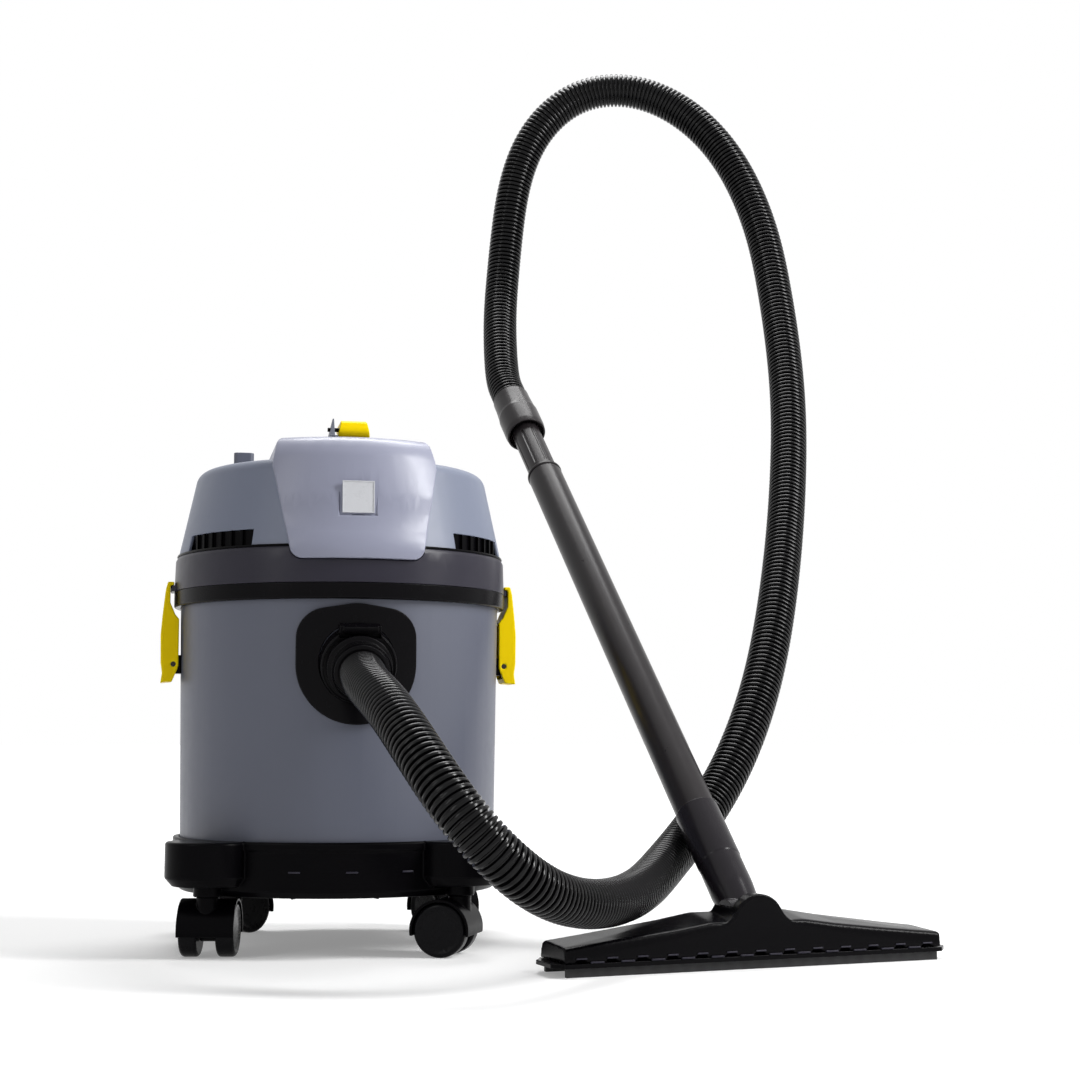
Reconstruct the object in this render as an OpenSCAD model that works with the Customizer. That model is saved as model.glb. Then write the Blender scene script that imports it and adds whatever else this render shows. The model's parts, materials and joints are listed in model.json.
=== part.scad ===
// Wet and dry drum vacuum on a four-wheeled dolly, with hose, wand and floor tool.
// Millimetres, +Z up. The drum's axis is the Z axis and the floor is z = 0.
// The drum's front, with its inlet and its bare badge, faces -Y.

/* [Tank] */
// Outer radius of the tank at its rim
tank_top_r = 158; // [156:0.5:160]
// How much narrower the tank's foot is than its rim, in radius
tank_taper = 4; // [2:0.5:8]
// Height of the tank from foot to rim
tank_h = 285; // [275:1:300]
// Thickness of the tank wall
tank_wall = 3; // [2:0.5:4]
// Height of the black band under the rim
band_h = 15; // [12:1:20]
// How far the band stands out past the rim's radius
band_out = 6.5; // [6:0.5:9]

/* [Dolly] */
// Height of the dolly's floor above the ground
caster_h = 56; // [56:1:62]
// Height of the dolly's wall
dolly_h = 51; // [44:1:54]
// Thickness of the dolly's floor and wall
dolly_t = 4; // [3:0.5:5]
// Turn of the dolly under the tank, degrees
dolly_turn = -7; // [-12:1:12]
// How far the casters' swivel axes stand outside the tank's rim
caster_out = 7; // [4:1:12]
// Radius of each lobe that carries a caster
lobe_r = 40; // [36:1:44]

/* [Casters] */
// Diameter of the caster wheels
wheel_d = 50; // [46:1:50]
// Width of one wheel of a pair
wheel_w = 17; // [14:1:18]
// Thickness of the web between the wheels
web_t = 16; // [12:1:18]
// Distance from the swivel axis back to the axle
trail = 13; // [8:1:16]
// Radius of the swivel stem
stem_r = 4.5; // [4:0.5:5.5]
// Radius of the axle
axle_r = 3; // [2.5:0.5:4]

/* [Head] */
// Height of the black head ring
ring_h = 34; // [30:1:38]
// How far the grey cover's foot stands outside the tank's rim
cover_foot_out = 3; // [1:0.5:3.5]
// How much the grey cover narrows up to its shoulder, in radius
cover_draft = 16; // [12:1:22]
// Height of the grey cover from its foot to its crown
cover_h = 92; // [86:1:100]
// Wall of the cover, the ring and the front fairing
shell_t = 3; // [2.5:0.5:3.5]
// Half width of the front fairing at its shoulder
cowl_half_w = 78; // [70:1:84]
// Half width of the front fairing at its foot
cowl_foot_half_w = 63; // [56:1:66]
// Height of the fairing's flat top above the cover's crown
cowl_rise = 16; // [12:1:20]
// Side of the square badge plate
badge_w = 30; // [24:1:34]
// Height of the air slots at the cover's foot
vent_h = 17; // [12:1:20]

/* [Motor] */
// Radius of the fan housing
fan_case_r = 66; // [60:1:70]
// Height of the fan housing
fan_case_h = 30; // [26:1:34]
// Radius of the motor's field core
stator_r = 42; // [38:1:46]
// Height of the motor's field core
stator_h = 36; // [30:1:38]
// Radius of the motor shaft
shaft_r = 4; // [3:0.5:5]

/* [Filter] */
// Radius of the float cage
cage_r = 48; // [42:1:54]
// Length of the float cage
cage_h = 120; // [100:1:140]
// Radius of the pleated filter
filter_r = 72; // [64:1:80]
// Travel of the float
float_lift = 18; // [12:1:20]

/* [Latches] */
// Distance from the rim down to the latch pivots
latch_drop = 71; // [66:1:78]
// Width of each latch
latch_w = 34; // [26:1:40]
// Radius of the latch pin
latch_pin_r = 2.5; // [2:0.25:3]

/* [Inlet] */
// Distance from the rim down to the hose port's centre
port_drop = 73; // [70:1:78]
// Downward tilt of the port, degrees
port_tilt = 15; // [10:1:20]
// Radius of the port's collar
port_r = 35; // [34:0.5:38]
// Radius of the hose connector's tube
connector_r = 27; // [26:0.5:28]
// Half width of the inlet plate
plate_half_w = 56; // [50:1:60]
// Height of the inlet plate
plate_h = 108; // [100:1:112]

/* [Hose] */
// Outer diameter of the hose over its ribs
hose_d = 42; // [38:1:44]
// Bore of the hose
hose_bore_d = 33; // [30:1:34]
// Number of ribs along the hose
hose_ribs = 170; // [100:10:190]

/* [Wand] */
// Turn of the wand and the floor tool about the vertical, degrees
wand_turn = 10; // [4:1:16]
// Lean of the wand back from the vertical, degrees
wand_lean = 46; // [42:1:48]
// Outer diameter of the wand
wand_d = 39; // [36:0.5:40]
// Length of the wand tube
wand_len = 568; // [500:1:640]
// Outer diameter of the grip tube
grip_d = 33; // [31:0.5:34]
// Widest diameter of the bell-shaped cuff
cuff_d = 48; // [46:1:54]

/* [Floor tool] */
// Length of the floor tool's shell
tool_len = 372; // [330:1:400]
// Depth of the floor tool's shell, front to back
tool_depth = 58; // [52:1:64]
// Height of the shell at its ends
tool_end_h = 27; // [24:1:30]
// Height of the shell at its middle
tool_mid_h = 43; // [38:1:46]
// Height of the tool's hinge axis above the floor
tool_hinge_z = 40; // [38:1:42]
// Radius of the arch over the hinge
arch_r = 25; // [24:1:27]
// Number of notches along the front skirt
skirt_notches = 13; // [9:2:17]

/* [Fits] */
// Gap between pieces that move on each other
gap = 0.3; // [0.2:0.05:0.4]
// Radial running clearance of pins and shafts
run_fit = 0.05; // [0.02:0.01:0.1]

/* [Hidden] */
$fn = 96;

// ---- derived heights ------------------------------------------------------
tank_z = caster_h + dolly_t;              // underside of the tank
rim_z = tank_z + tank_h;                  // top of the tank
tank_base_r = tank_top_r - tank_taper;
caster_circle_r = tank_top_r + caster_out;
cover_foot_r = tank_top_r + cover_foot_out;
cover_top_r = cover_foot_r - cover_draft;
latch_pivot_z = rim_z - latch_drop;
port_z = rim_z - port_drop;
band_r = tank_top_r + band_out;           // outside of both black bands
ring_z = rim_z + gap;                     // underside of the head ring
ring_top_z = ring_z + ring_h;
cover_z = ring_top_z + gap;               // foot of the cover
crown_z = cover_z + cover_h;
cowl_z = crown_z + cowl_rise;             // flat top of the fairing
deck_z = ring_z + 6;                      // top of the head ring's ledge
deck_t = 4;                               // motor deck thickness
fan_z = deck_z + deck_t + 0.5;              // underside of the fan housing
stator_z = fan_z + fan_case_h + 6;
cage_top_z = deck_z - gap;

function tank_r(z) = tank_base_r + (tank_top_r - tank_base_r) * (z - tank_z) / tank_h;
shoulder_r = 14;                          // rounding of the cover's shoulder
shoulder_a = 11;
shoulder_z = crown_z - 20 + shoulder_r * sin(shoulder_a);
shoulder_x = cover_top_r - shoulder_r + shoulder_r * cos(shoulder_a);
function cover_r(z) = cover_foot_r + (shoulder_x - cover_foot_r) * (z - cover_z) / (shoulder_z - cover_z);
function arc(cx, cy, r, a0, a1, n) =
    [for (i = [0 : n]) let (a = a0 + (a1 - a0) * i / n) [cx + r * cos(a), cy + r * sin(a)]];

// ---- colours --------------------------------------------------------------
black = [0.07, 0.07, 0.08];
hose_black = [0.05, 0.05, 0.05];
grey = [0.45, 0.46, 0.50];
light_grey = [0.55, 0.56, 0.61];
yellow = [0.96, 0.84, 0.05];
steel = [0.72, 0.73, 0.75];
copper = [0.72, 0.42, 0.22];
paper = [0.90, 0.88, 0.80];

// ---- tank -----------------------------------------------------------------
screw_circle_r = tank_top_r - 58;
screw_r = 2;
boss_h = 16;
tank_floor_t = 3;
rim_t = 3.5;
rim_r = tank_top_r + 3.2;

module tank() {
    color(grey)
    difference() {
        union() {
            rotate_extrude()
                polygon([[0, tank_z], [tank_base_r, tank_z], [tank_r(rim_z - rim_t), rim_z - rim_t],
                         [rim_r, rim_z - rim_t], [rim_r, rim_z], [tank_top_r - tank_wall, rim_z],
                         [tank_base_r - tank_wall, tank_z + tank_floor_t], [0, tank_z + tank_floor_t]]);
            for (a = [45 : 90 : 315])
                rotate([0, 0, a + dolly_turn]) translate([screw_circle_r, 0, tank_z])
                    cylinder(r = 6, h = boss_h);
        }
        for (a = [45 : 90 : 315])
            rotate([0, 0, a + dolly_turn]) translate([screw_circle_r, 0, tank_z - 1])
                cylinder(r = screw_r + run_fit, h = boss_h - 2);
        port_frame() translate([0, 0, -40]) cylinder(r = spigot_r + gap, h = 60);
        plate_screw_places() cylinder(r = plate_screw_r + gap, h = 30, center = true);
    }
}

module tank_band() {
    color(black)
    rotate_extrude()
        polygon([[tank_r(rim_z - band_h) + gap, rim_z - band_h], [band_r - 1, rim_z - band_h],
                 [band_r, rim_z - band_h + 1], [band_r, rim_z], [rim_r + gap, rim_z],
                 [rim_r + gap, rim_z - rim_t - gap], [tank_top_r + gap, rim_z - rim_t - gap]]);
}

// ---- dolly ----------------------------------------------------------------
dolly_in_r = tank_r(caster_h + dolly_h) + 0.8;   // clears the tank that stands in it
dolly_out_r = dolly_in_r + dolly_t;
dolly_top_z = caster_h + dolly_h;
lobe_foot_z = caster_h + 10;
rib_drop = 5;
stem_boss_r = stem_r + 9;
stem_top_z = dolly_top_z - 12;
// front left, front right, back right, back left: place on the circle, then where each trails
caster_angles = [225, 315, 45, 135];
caster_headings = [78, 155, 120, 40];

module at_caster(i) {
    rotate([0, 0, caster_angles[i] + dolly_turn]) translate([caster_circle_r, 0, 0])
        rotate([0, 0, -caster_angles[i] - dolly_turn]) children();
}

module lobe_solid() {
    rotate_extrude()
        polygon(concat([[0, lobe_foot_z], [lobe_r - 7, lobe_foot_z], [lobe_r, lobe_foot_z + 8]],
                       arc(lobe_r - 3, dolly_top_z - 3, 3, 0, 90, 4), [[0, dolly_top_z]]));
}

module lobe_hollow() {
    rotate_extrude()
        polygon([[stem_boss_r, lobe_foot_z - 1], [lobe_r - 7 - dolly_t, lobe_foot_z - 1],
                 [lobe_r - dolly_t, lobe_foot_z + 9], [lobe_r - dolly_t, dolly_top_z - dolly_t],
                 [stem_boss_r, dolly_top_z - dolly_t]]);
}

module dolly() {
    color(black)
    difference() {
        union() {
            rotate_extrude()
                polygon([[0, caster_h], [dolly_out_r - 6, caster_h], [dolly_out_r, caster_h + 6],
                         [dolly_out_r, dolly_top_z - 9], [dolly_out_r + 2, dolly_top_z - 7],
                         [dolly_out_r + 2, dolly_top_z - 1], [dolly_out_r + 1, dolly_top_z],
                         [0, dolly_top_z]]);
            for (i = [0 : 3])
                at_caster(i) {
                    lobe_solid();
                    translate([0, 0, caster_h]) cylinder(r = stem_boss_r, h = dolly_h - 1);
                }
            for (a = [22.5 : 45 : 337.5])
                rotate([0, 0, a + dolly_turn]) translate([30, -1.5, caster_h - rib_drop])
                    cube([screw_circle_r - 24, 3, rib_drop + 1]);
        }
        translate([0, 0, tank_z]) cylinder(r = dolly_in_r, h = dolly_h);
        for (i = [0 : 3])
            at_caster(i) {
                difference() {
                    lobe_hollow();
                    rotate([0, 0, caster_angles[i] + dolly_turn]) translate([-caster_circle_r, 0, 0])
                        cylinder(r = dolly_out_r, h = dolly_top_z);
                }
                translate([0, 0, caster_h - 1]) cylinder(r = stem_r + run_fit, h = stem_top_z - caster_h + 1 + gap);
            }
        for (a = [45 : 90 : 315])
            rotate([0, 0, a + dolly_turn]) translate([screw_circle_r, 0, caster_h - 1])
                cylinder(r = screw_r + gap, h = dolly_t + 2);
    }
}

module dolly_screws() {
    color(steel)
    for (a = [45 : 90 : 315])
        rotate([0, 0, a + dolly_turn]) translate([screw_circle_r, 0, 0]) {
            translate([0, 0, caster_h - 2.5]) cylinder(r = 4, h = 2.5);
            translate([0, 0, caster_h - 1]) cylinder(r = screw_r, h = dolly_t + boss_h - 5);
        }
}

// ---- casters --------------------------------------------------------------
wheel_r = wheel_d / 2;
hood_r = wheel_r + 3.5;
hood_w = web_t + 2 * wheel_w + 3;
hood_top_z = caster_h - gap;

module at_axle(i) {
    at_caster(i) rotate([0, 0, caster_headings[i]]) translate([trail, 0, wheel_r])
        rotate([90, 0, 0]) children();
}

module caster_hood(i) {
    color(black)
    difference() {
        union() {
            at_axle(i) {
                difference() {
                    cylinder(r = hood_r, h = hood_w, center = true);
                    for (s = [-1, 1])
                        translate([0, 0, s * (web_t / 2 + hood_w / 2)])
                            cylinder(r = wheel_r + 0.9, h = hood_w, center = true);
                    translate([-hood_r - 1, -2 * hood_r - 5, -hood_w])
                        cube([2 * hood_r + 2, 2 * hood_r, 2 * hood_w]);
                }
                cylinder(r = axle_r + 8, h = web_t, center = true);
            }
            at_caster(i) translate([0, 0, wheel_r + 12])
                cylinder(r = stem_r + 6, h = hood_top_z - wheel_r - 12);
        }
        at_axle(i) for (s = [-1, 1])
            translate([0, 0, s * (web_t / 2 + hood_w / 2)]) cylinder(r = wheel_r + 0.9, h = hood_w, center = true);
        at_axle(i) cylinder(r = axle_r, h = hood_w, center = true);
        at_caster(i) translate([0, 0, wheel_r + 14]) cylinder(r = stem_r, h = caster_h);
    }
}

module caster_pins(i) {
    color(steel) {
        at_axle(i) cylinder(r = axle_r, h = hood_w - 8, center = true);
        at_caster(i) translate([0, 0, wheel_r + 14])
            cylinder(r = stem_r, h = stem_top_z - wheel_r - 14);
    }
}

module caster_wheels(i) {
    color([0.11, 0.11, 0.12])
    at_axle(i) for (s = [-1, 1])
        mirror([0, 0, s > 0 ? 0 : 1]) translate([0, 0, web_t / 2 + 0.8])
            difference() {
                rotate_extrude()
                    polygon(concat([[0, 0], [wheel_r - 2, 0]], arc(wheel_r - 3, 3, 3, -60, 0, 3),
                                   arc(wheel_r - 4, wheel_w - 4, 4, 0, 90, 4),
                                   [[wheel_r - 8, wheel_w - 1.5], [0, wheel_w - 0.5]]));
                translate([0, 0, -1]) cylinder(r = axle_r + run_fit, h = wheel_w - 2);
            }
}

// ---- inlet ----------------------------------------------------------------
port_y = -(tank_r(port_z));
spigot_r = port_r - 5;
plate_t = 5;
plate_corner_r = 28;
plate_top_z = rim_z - band_h - 8;
plate_mid_z = plate_top_z - plate_h / 2;
plate_screw_r = 1.75;
collar_len = 20;
key_slot_half_w = 19;
connector_len = 46;      // from the tank wall to the connector's front face

module port_frame() {
    translate([0, port_y, port_z]) rotate([90 + port_tilt, 0, 0]) children();
}

module plate_screw_places() {
    for (p = [[-15.5, plate_top_z - 20], [15.5, plate_top_z - 20],
              [-10, plate_top_z - plate_h + 20], [10, plate_top_z - plate_h + 20]])
        rotate([0, 0, p[0]]) translate([0, -tank_r(p[1]), p[1]]) rotate([90, 0, 0]) children();
}

module plate_outline() {
    w = plate_half_w;
    hull() {
        for (s = [-1, 1])
            translate([s * (w - plate_corner_r), plate_h / 2 - plate_corner_r]) circle(r = plate_corner_r, $fn = 48);
        translate([0, w - plate_h / 2]) circle(r = w);
    }
}

module inlet_plate() {
    color(black)
    difference() {
        intersection() {
            rotate_extrude()
                polygon([[tank_r(rim_z - 150) + gap, rim_z - 150], [tank_r(rim_z) + gap, rim_z],
                         [tank_r(rim_z) + gap + plate_t, rim_z],
                         [tank_r(rim_z - 150) + gap + plate_t, rim_z - 150]]);
            translate([0, 0, plate_mid_z]) rotate([90, 0, 0]) linear_extrude(200) plate_outline();
        }
        port_frame() translate([0, 0, -30]) cylinder(r = port_r + gap, h = 80);
        plate_screw_places() cylinder(r = plate_screw_r, h = 2 * plate_t - 2, center = true);
    }
}

module inlet_screws() {
    color(steel)
    plate_screw_places() {
        translate([0, 0, -tank_wall - 3]) cylinder(r = 3.6, h = 2.4);
        translate([0, 0, -tank_wall - 1]) cylinder(r = plate_screw_r - run_fit, h = tank_wall + plate_t - 1);
    }
}

module inlet_port() {
    color(black)
    difference() {
        port_frame() union() {
            translate([0, 0, -1]) rotate_extrude()
                polygon([[connector_r + gap, 0], [port_r, 0], [port_r, collar_len - 1],
                         [port_r - 1, collar_len], [connector_r + gap, collar_len]]);
            translate([0, 0, -22]) rotate_extrude()
                polygon([[connector_r + gap, 0], [spigot_r, 0], [spigot_r, 24], [connector_r + gap, 24]]);
        }
        rotate_extrude()
            polygon([[0, port_z - 60], [tank_r(port_z - 60) + gap, port_z - 60],
                     [tank_r(port_z + 60) + gap, port_z + 60], [0, port_z + 60]], convexity = 4);
        key_slot(gap);
    }
    color(black) intersection() {
        port_frame() translate([0, 0, -22]) rotate_extrude()
            polygon([[connector_r + gap, 0], [spigot_r, 0], [spigot_r, 30], [connector_r + gap, 30]]);
        rotate_extrude()
            polygon([[0, port_z - 60], [tank_r(port_z - 60) + 1, port_z - 60],
                     [tank_r(port_z + 60) + 1, port_z + 60], [0, port_z + 60]], convexity = 4);
    }
}

// the slot in the collar's top in which the release key slides
module key_slot(g) {
    port_frame() translate([-key_slot_half_w - g, connector_r - 1, collar_len - 12 - g])
        cube([2 * key_slot_half_w + 2 * g, port_r, 30]);
}

key_press = 2.5;

module release_key() {
    color(black)
    port_frame() difference() {
        translate([-key_slot_half_w, 0, collar_len - 12]) union() {
            translate([0, port_r - 4, 0]) cube([2 * key_slot_half_w, 7, 13]);
            translate([3, port_r - 1, 12]) cube([2 * key_slot_half_w - 6, 4, 6]);
        }
        translate([0, 0, -1]) cylinder(r = connector_r + key_press + 1, h = 60);
    }
}

module inlet_deflector() {
    color(black)
    port_frame() difference() {
        translate([0, 0, -58]) union() {
            cylinder(r = connector_r + gap + 1.8, h = 35.7);
            cylinder(r = spigot_r + 2, h = 3);
        }
        translate([0, 0, -55]) cylinder(r = connector_r - 1, h = 60);
        translate([-60, -60, -50]) cube([120, 55, 24]);
    }
}

module hose_connector() {
    color(black)
    port_frame() rotate_extrude()
        polygon([[hose_bore_d / 2, -18], [connector_r, -18], [connector_r, collar_len + 2],
                 [connector_r + 3, collar_len + 3], [connector_r + 3, collar_len + 7],
                 [connector_r - 1, collar_len + 9], [connector_r - 1, connector_len - 6],
                 [connector_r - 2, connector_len - 1], [hose_d / 2 + 1, connector_len],
                 [hose_bore_d / 2, connector_len]]);
}

// ---- latches --------------------------------------------------------------
latch_r = tank_top_r + 6.5;      // radius of the latch pins' axes
catch_r = band_r + 3.5;          // outside of the catch on the head ring
catch_h = 6;
dish_out = 5.6;                  // the dish's outer face, from the pin's axis
latch_top_z = ring_z + catch_h + gap + 3.2;

module latch_profile() {
    polygon([[band_r + gap, latch_top_z - 3.2], [band_r + gap, latch_top_z], [catch_r + 3, latch_top_z],
             [catch_r + 5, latch_top_z - 8], [band_r + 11, rim_z - 22], [band_r + 12.5, latch_pivot_z + 30],
             [band_r + 12, latch_pivot_z + 2], [band_r + 10.5, latch_pivot_z - 8],
             [band_r + 12, latch_pivot_z - 18], [latch_r + 1, latch_pivot_z - 17],
             [latch_r - 3.6, latch_pivot_z - 6], [latch_r - 5, latch_pivot_z - 2],
             [latch_r - 5, rim_z - band_h - 12],
             [latch_r - 1, rim_z - band_h - 7], [band_r + 1, rim_z - band_h - 2],
             [catch_r + gap, rim_z - band_h + 4], [catch_r + gap, latch_top_z - 3.2]]);
}

module latch(s) {
    color(yellow)
    difference() {
        translate([0, latch_w / 2, 0]) rotate([90, 0, 0]) linear_extrude(latch_w)
            mirror([s > 0 ? 0 : 1, 0]) latch_profile();
        // the inside is dished between the two cheeks
        translate([s > 0 ? latch_r - 7 : -latch_r - dish_out, -latch_w / 2 + 4, latch_pivot_z - 12])
            cube([7 + dish_out, latch_w - 8, latch_drop - band_h - 2]);
        translate([s * latch_r, 0, latch_pivot_z]) rotate([90, 0, 0])
            cylinder(r = latch_pin_r + run_fit, h = latch_w + 2, center = true);
    }
}

module latch_left() { latch(-1); }
module latch_right() { latch(1); }

module latch_brackets() {
    color(black)
    for (s = [-1, 1])
        difference() {
            union() {
                translate([s * latch_r, 0, latch_pivot_z]) rotate([90, 0, 0])
                    cylinder(r = latch_pin_r + 2.2, h = latch_w - 10, center = true);
                translate([s > 0 ? tank_base_r - 2 : -latch_r + 2, -latch_w / 2 + 5, latch_pivot_z - 9])
                    cube([latch_r - tank_base_r, latch_w - 10, 18]);
            }
            translate([0, 0, tank_z]) cylinder(r1 = tank_base_r + gap, r2 = tank_top_r + gap, h = tank_h);
            translate([s * latch_r, 0, latch_pivot_z]) rotate([90, 0, 0])
                cylinder(r = latch_pin_r, h = latch_w, center = true);
        }
}

module latch_pins() {
    color(steel)
    for (s = [-1, 1])
        translate([s * latch_r, 0, latch_pivot_z]) rotate([90, 0, 0])
            cylinder(r = latch_pin_r, h = latch_w - 1, center = true);
}

// ---- head -----------------------------------------------------------------
ledge_r = tank_top_r - tank_wall - 10;     // inner edge of the ring's ledge
skirt_r = tank_top_r - tank_wall - 1;      // the ring's skirt drops inside the tank
seal_groove_r = tank_top_r - 1.5;
ring_screw_circle_r = cover_foot_r - 11;
head_screw_angles = [0 : 60 : 300];
deck_screw_angles = [30 : 60 : 330];

module head_ring() {
    color(black)
    difference() {
        union() {
            rotate_extrude()
                polygon([[ledge_r, ring_z - 8], [skirt_r, ring_z - 8], [skirt_r, ring_z], [band_r, ring_z],
                         [band_r, ring_z + 1], [band_r - 1, ring_top_z - 4], [band_r - 3, ring_top_z],
                         [cover_foot_r - 7, ring_top_z], [cover_foot_r - 7, deck_z], [ledge_r, deck_z]]);
            for (s = [-1, 1])
                intersection() {
                    translate([s > 0 ? band_r - 4 : -catch_r, -latch_w / 2 + 1, ring_z])
                        cube([catch_r - band_r + 4, latch_w - 2, catch_h]);
                    cylinder(r = catch_r, h = ring_top_z);
                }
            for (a = head_screw_angles)
                rotate([0, 0, a]) translate([ring_screw_circle_r, 0, deck_z - 1])
                    cylinder(r = 5, h = ring_top_z - deck_z + 1);
        }
        // room for the rubber seal above the tank's rim
        translate([0, 0, ring_z - 1]) difference() {
            cylinder(r = seal_groove_r + 1.5, h = 3.5);
            translate([0, 0, -1]) cylinder(r = seal_groove_r - 1.5, h = 6);
        }
        for (a = head_screw_angles)
            rotate([0, 0, a]) translate([ring_screw_circle_r, 0, deck_z + 6])
                cylinder(r = 1.6, h = ring_h);
        for (a = deck_screw_angles)
            rotate([0, 0, a]) translate([deck_screw_circle_r, 0, deck_z - 8]) cylinder(r = 1.6, h = 20);
        cowl_room();
    }
}

module tank_seal() {
    color([0.15, 0.15, 0.15])
    translate([0, 0, ring_z]) difference() {
        cylinder(r = seal_groove_r + 1.4, h = 2.4);
        translate([0, 0, -1]) cylinder(r = seal_groove_r - 1.4, h = 5);
    }
}

// outer or inner profile of the cover: t is how far it lies inside the outer face
module cover_profile(t, foot) {
    polygon(concat([[0, foot], [cover_foot_r - t, foot]],
                   arc(cover_top_r - shoulder_r, crown_z - 20, shoulder_r - t, shoulder_a, 78, 8),
                   [[70, crown_z - 1.5 - t], [0, crown_z - t]]));
}

vent_a0 = 37;
vent_a1 = 72;
vent_back_a = 20;

// start and span of the slots: one on each side of the fairing and one at the back
vents = [[-90 - vent_a1, vent_a1 - vent_a0], [-90 + vent_a0, vent_a1 - vent_a0], [90 - vent_back_a, 2 * vent_back_a]];
grille_bars = 7;

module vent_arc(a, span, r0, r1, z, h) {
    rotate([0, 0, a]) rotate_extrude(angle = span) translate([r0, z]) square([r1 - r0, h]);
}

switch_y = 59 - cover_top_r;   // the switch and its lever stand on the fairing's top
switch_len = 30;
switch_w = 15;

module switch_hole(g) {
    translate([-switch_w / 2 - g, switch_y - switch_len / 2 - g, crown_z - 30])
        cube([switch_w + 2 * g, switch_len + 2 * g, cowl_rise + 40]);
}

gland_a = 90;         // the power inlet is at the back
gland_z = cover_z + 40;
gland_bore_r = 4.2;
gland_r = 8;
gland_pad = 4;        // flat pad that takes the gland on the sloping cover

module gland_frame() {
    rotate([0, 0, gland_a]) translate([cover_r(gland_z), 0, gland_z]) rotate([0, 90, 0]) children();
}

module head_cover() {
    color(grey)
    difference() {
        union() {
            rotate_extrude() difference() {
                cover_profile(0, cover_z);
                cover_profile(shell_t, cover_z - 1);
            }
            gland_frame() translate([0, 0, -5]) cylinder(r = gland_r + 7, h = 5 + gland_pad);
        }
        for (v = vents) vent_arc(v[0], v[1], cover_top_r - 40, cover_foot_r + 10, cover_z - 1, vent_h + 1);
        switch_hole(gap);
        gland_frame() cylinder(r = gland_r + gap, h = 40, center = true);
        for (s = [-1, 1])
            translate([s * hook_x, hook_y, crown_z - 20]) cylinder(r = 2.2, h = 40);
    }
    // bosses that take the head screws, each joined to the wall by a rib
    color(grey)
    difference() {
        intersection() {
            for (a = head_screw_angles)
                rotate([0, 0, a]) translate([ring_screw_circle_r, 0, cover_z]) {
                    cylinder(r = 4.5, h = 24);
                    translate([0, -1.5, 0]) cube([cover_foot_r - ring_screw_circle_r, 3, 24]);
                }
            rotate_extrude() cover_profile(1, cover_z);
        }
        for (a = head_screw_angles)
            rotate([0, 0, a]) translate([ring_screw_circle_r, 0, cover_z - 1])
                cylinder(r = 1.5 + run_fit, h = 18);
    }
}

module head_screws() {
    color(steel)
    for (a = head_screw_angles)
        rotate([0, 0, a]) translate([ring_screw_circle_r, 0, deck_z + 6])
            cylinder(r = 1.5, h = ring_top_z - deck_z + 8);
}

// ---- front fairing --------------------------------------------------------
cowl_foot_z = ring_top_z - 11;
cowl_rear_y = 30;

// fairing's front view, x right and z up, drawn wall t inside the outer faces
module cowl_front(t) {
    w0 = cowl_foot_half_w - t;
    w1 = cowl_half_w - t;
    polygon(concat(arc(w0 - 12, cowl_foot_z + 11 + t, 12, -90, -10, 6),
                   [[w1, crown_z - 14], [w1 - 1, crown_z - 6]],
                   arc(w1 - 14, cowl_z - 10 - t, 10, 10, 90, 5),
                   arc(-w1 + 14, cowl_z - 10 - t, 10, 90, 170, 5),
                   [[-w1 + 1, crown_z - 6], [-w1, crown_z - 14]],
                   arc(-w0 + 12, cowl_foot_z + 11 + t, 12, 190, 270, 6)));
}

// fairing's side profile turned about the drum's axis
module cowl_side(t) {
    polygon([[0, cowl_foot_z - 2], [band_r + 3 - t, cowl_foot_z - 2], [band_r + 4 - t, cowl_foot_z + 8],
             [band_r + 2 - t, cowl_foot_z + 18], [band_r - 4 - t, cowl_foot_z + 30],
             [band_r - 7 - t, cowl_foot_z + 44], [cover_r(crown_z - 40) + 6.6 - t, crown_z - 40],
             [cover_r(crown_z - 14) + 1.5 - t, crown_z - 6], [cover_top_r - 5 - t, crown_z + 4],
             [cover_top_r - 10 - t, cowl_z - 6 - t], [cover_top_r - 16, cowl_z - 1.5 - t],
             [cover_top_r - 26, cowl_z - t], [0, cowl_z - t]]);
}

// fairing's cut from the side: its top runs back and falls to the crown
module cowl_back(t) {
    polygon([[-200, cowl_foot_z - 5], [cowl_rear_y - t, cowl_foot_z - 5], [cowl_rear_y - t, crown_z + 2],
             [cowl_rear_y - 34 - t, cowl_z + 1], [-200, cowl_z + 1]]);
}

module cowl_form(t) {
    intersection() {
        rotate_extrude() cowl_side(t);
        rotate([90, 0, 0]) translate([0, 0, -cowl_rear_y]) linear_extrude(220) cowl_front(t);
        rotate([90, 0, 90]) translate([0, 0, -100]) linear_extrude(200) cowl_back(t);
    }
}

// notch in the head ring that takes the fairing's foot
module cowl_room() {
    intersection() {
        translate([0, 0, cowl_foot_z - 4]) difference() {
            cylinder(r = band_r + 10, h = 40);
            translate([0, 0, -1]) cylinder(r = band_r - 1.6, h = 42);
        }
        rotate([90, 0, 0]) linear_extrude(band_r + 10) cowl_front(-2 * gap);
    }
}

badge_z = crown_z - 46;
badge_y = -(cover_r(crown_z - 40) + 7.1);
badge_recess = 1.5;

module front_cowl() {
    color(light_grey)
    difference() {
        cowl_form(0);
        cowl_form(shell_t);
        translate([0, 0, cowl_foot_z - 20]) cylinder(r = band_r - 1.4, h = ring_top_z - cowl_foot_z + 20);
        rotate_extrude() cover_keepout();
        switch_hole(gap);
        translate([-badge_w / 2 - 2.5, -200, badge_z - badge_w / 2 - 2.5])
            cube([badge_w + 5, 200 + badge_y + badge_recess, badge_w + 5]);
    }
}

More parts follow.
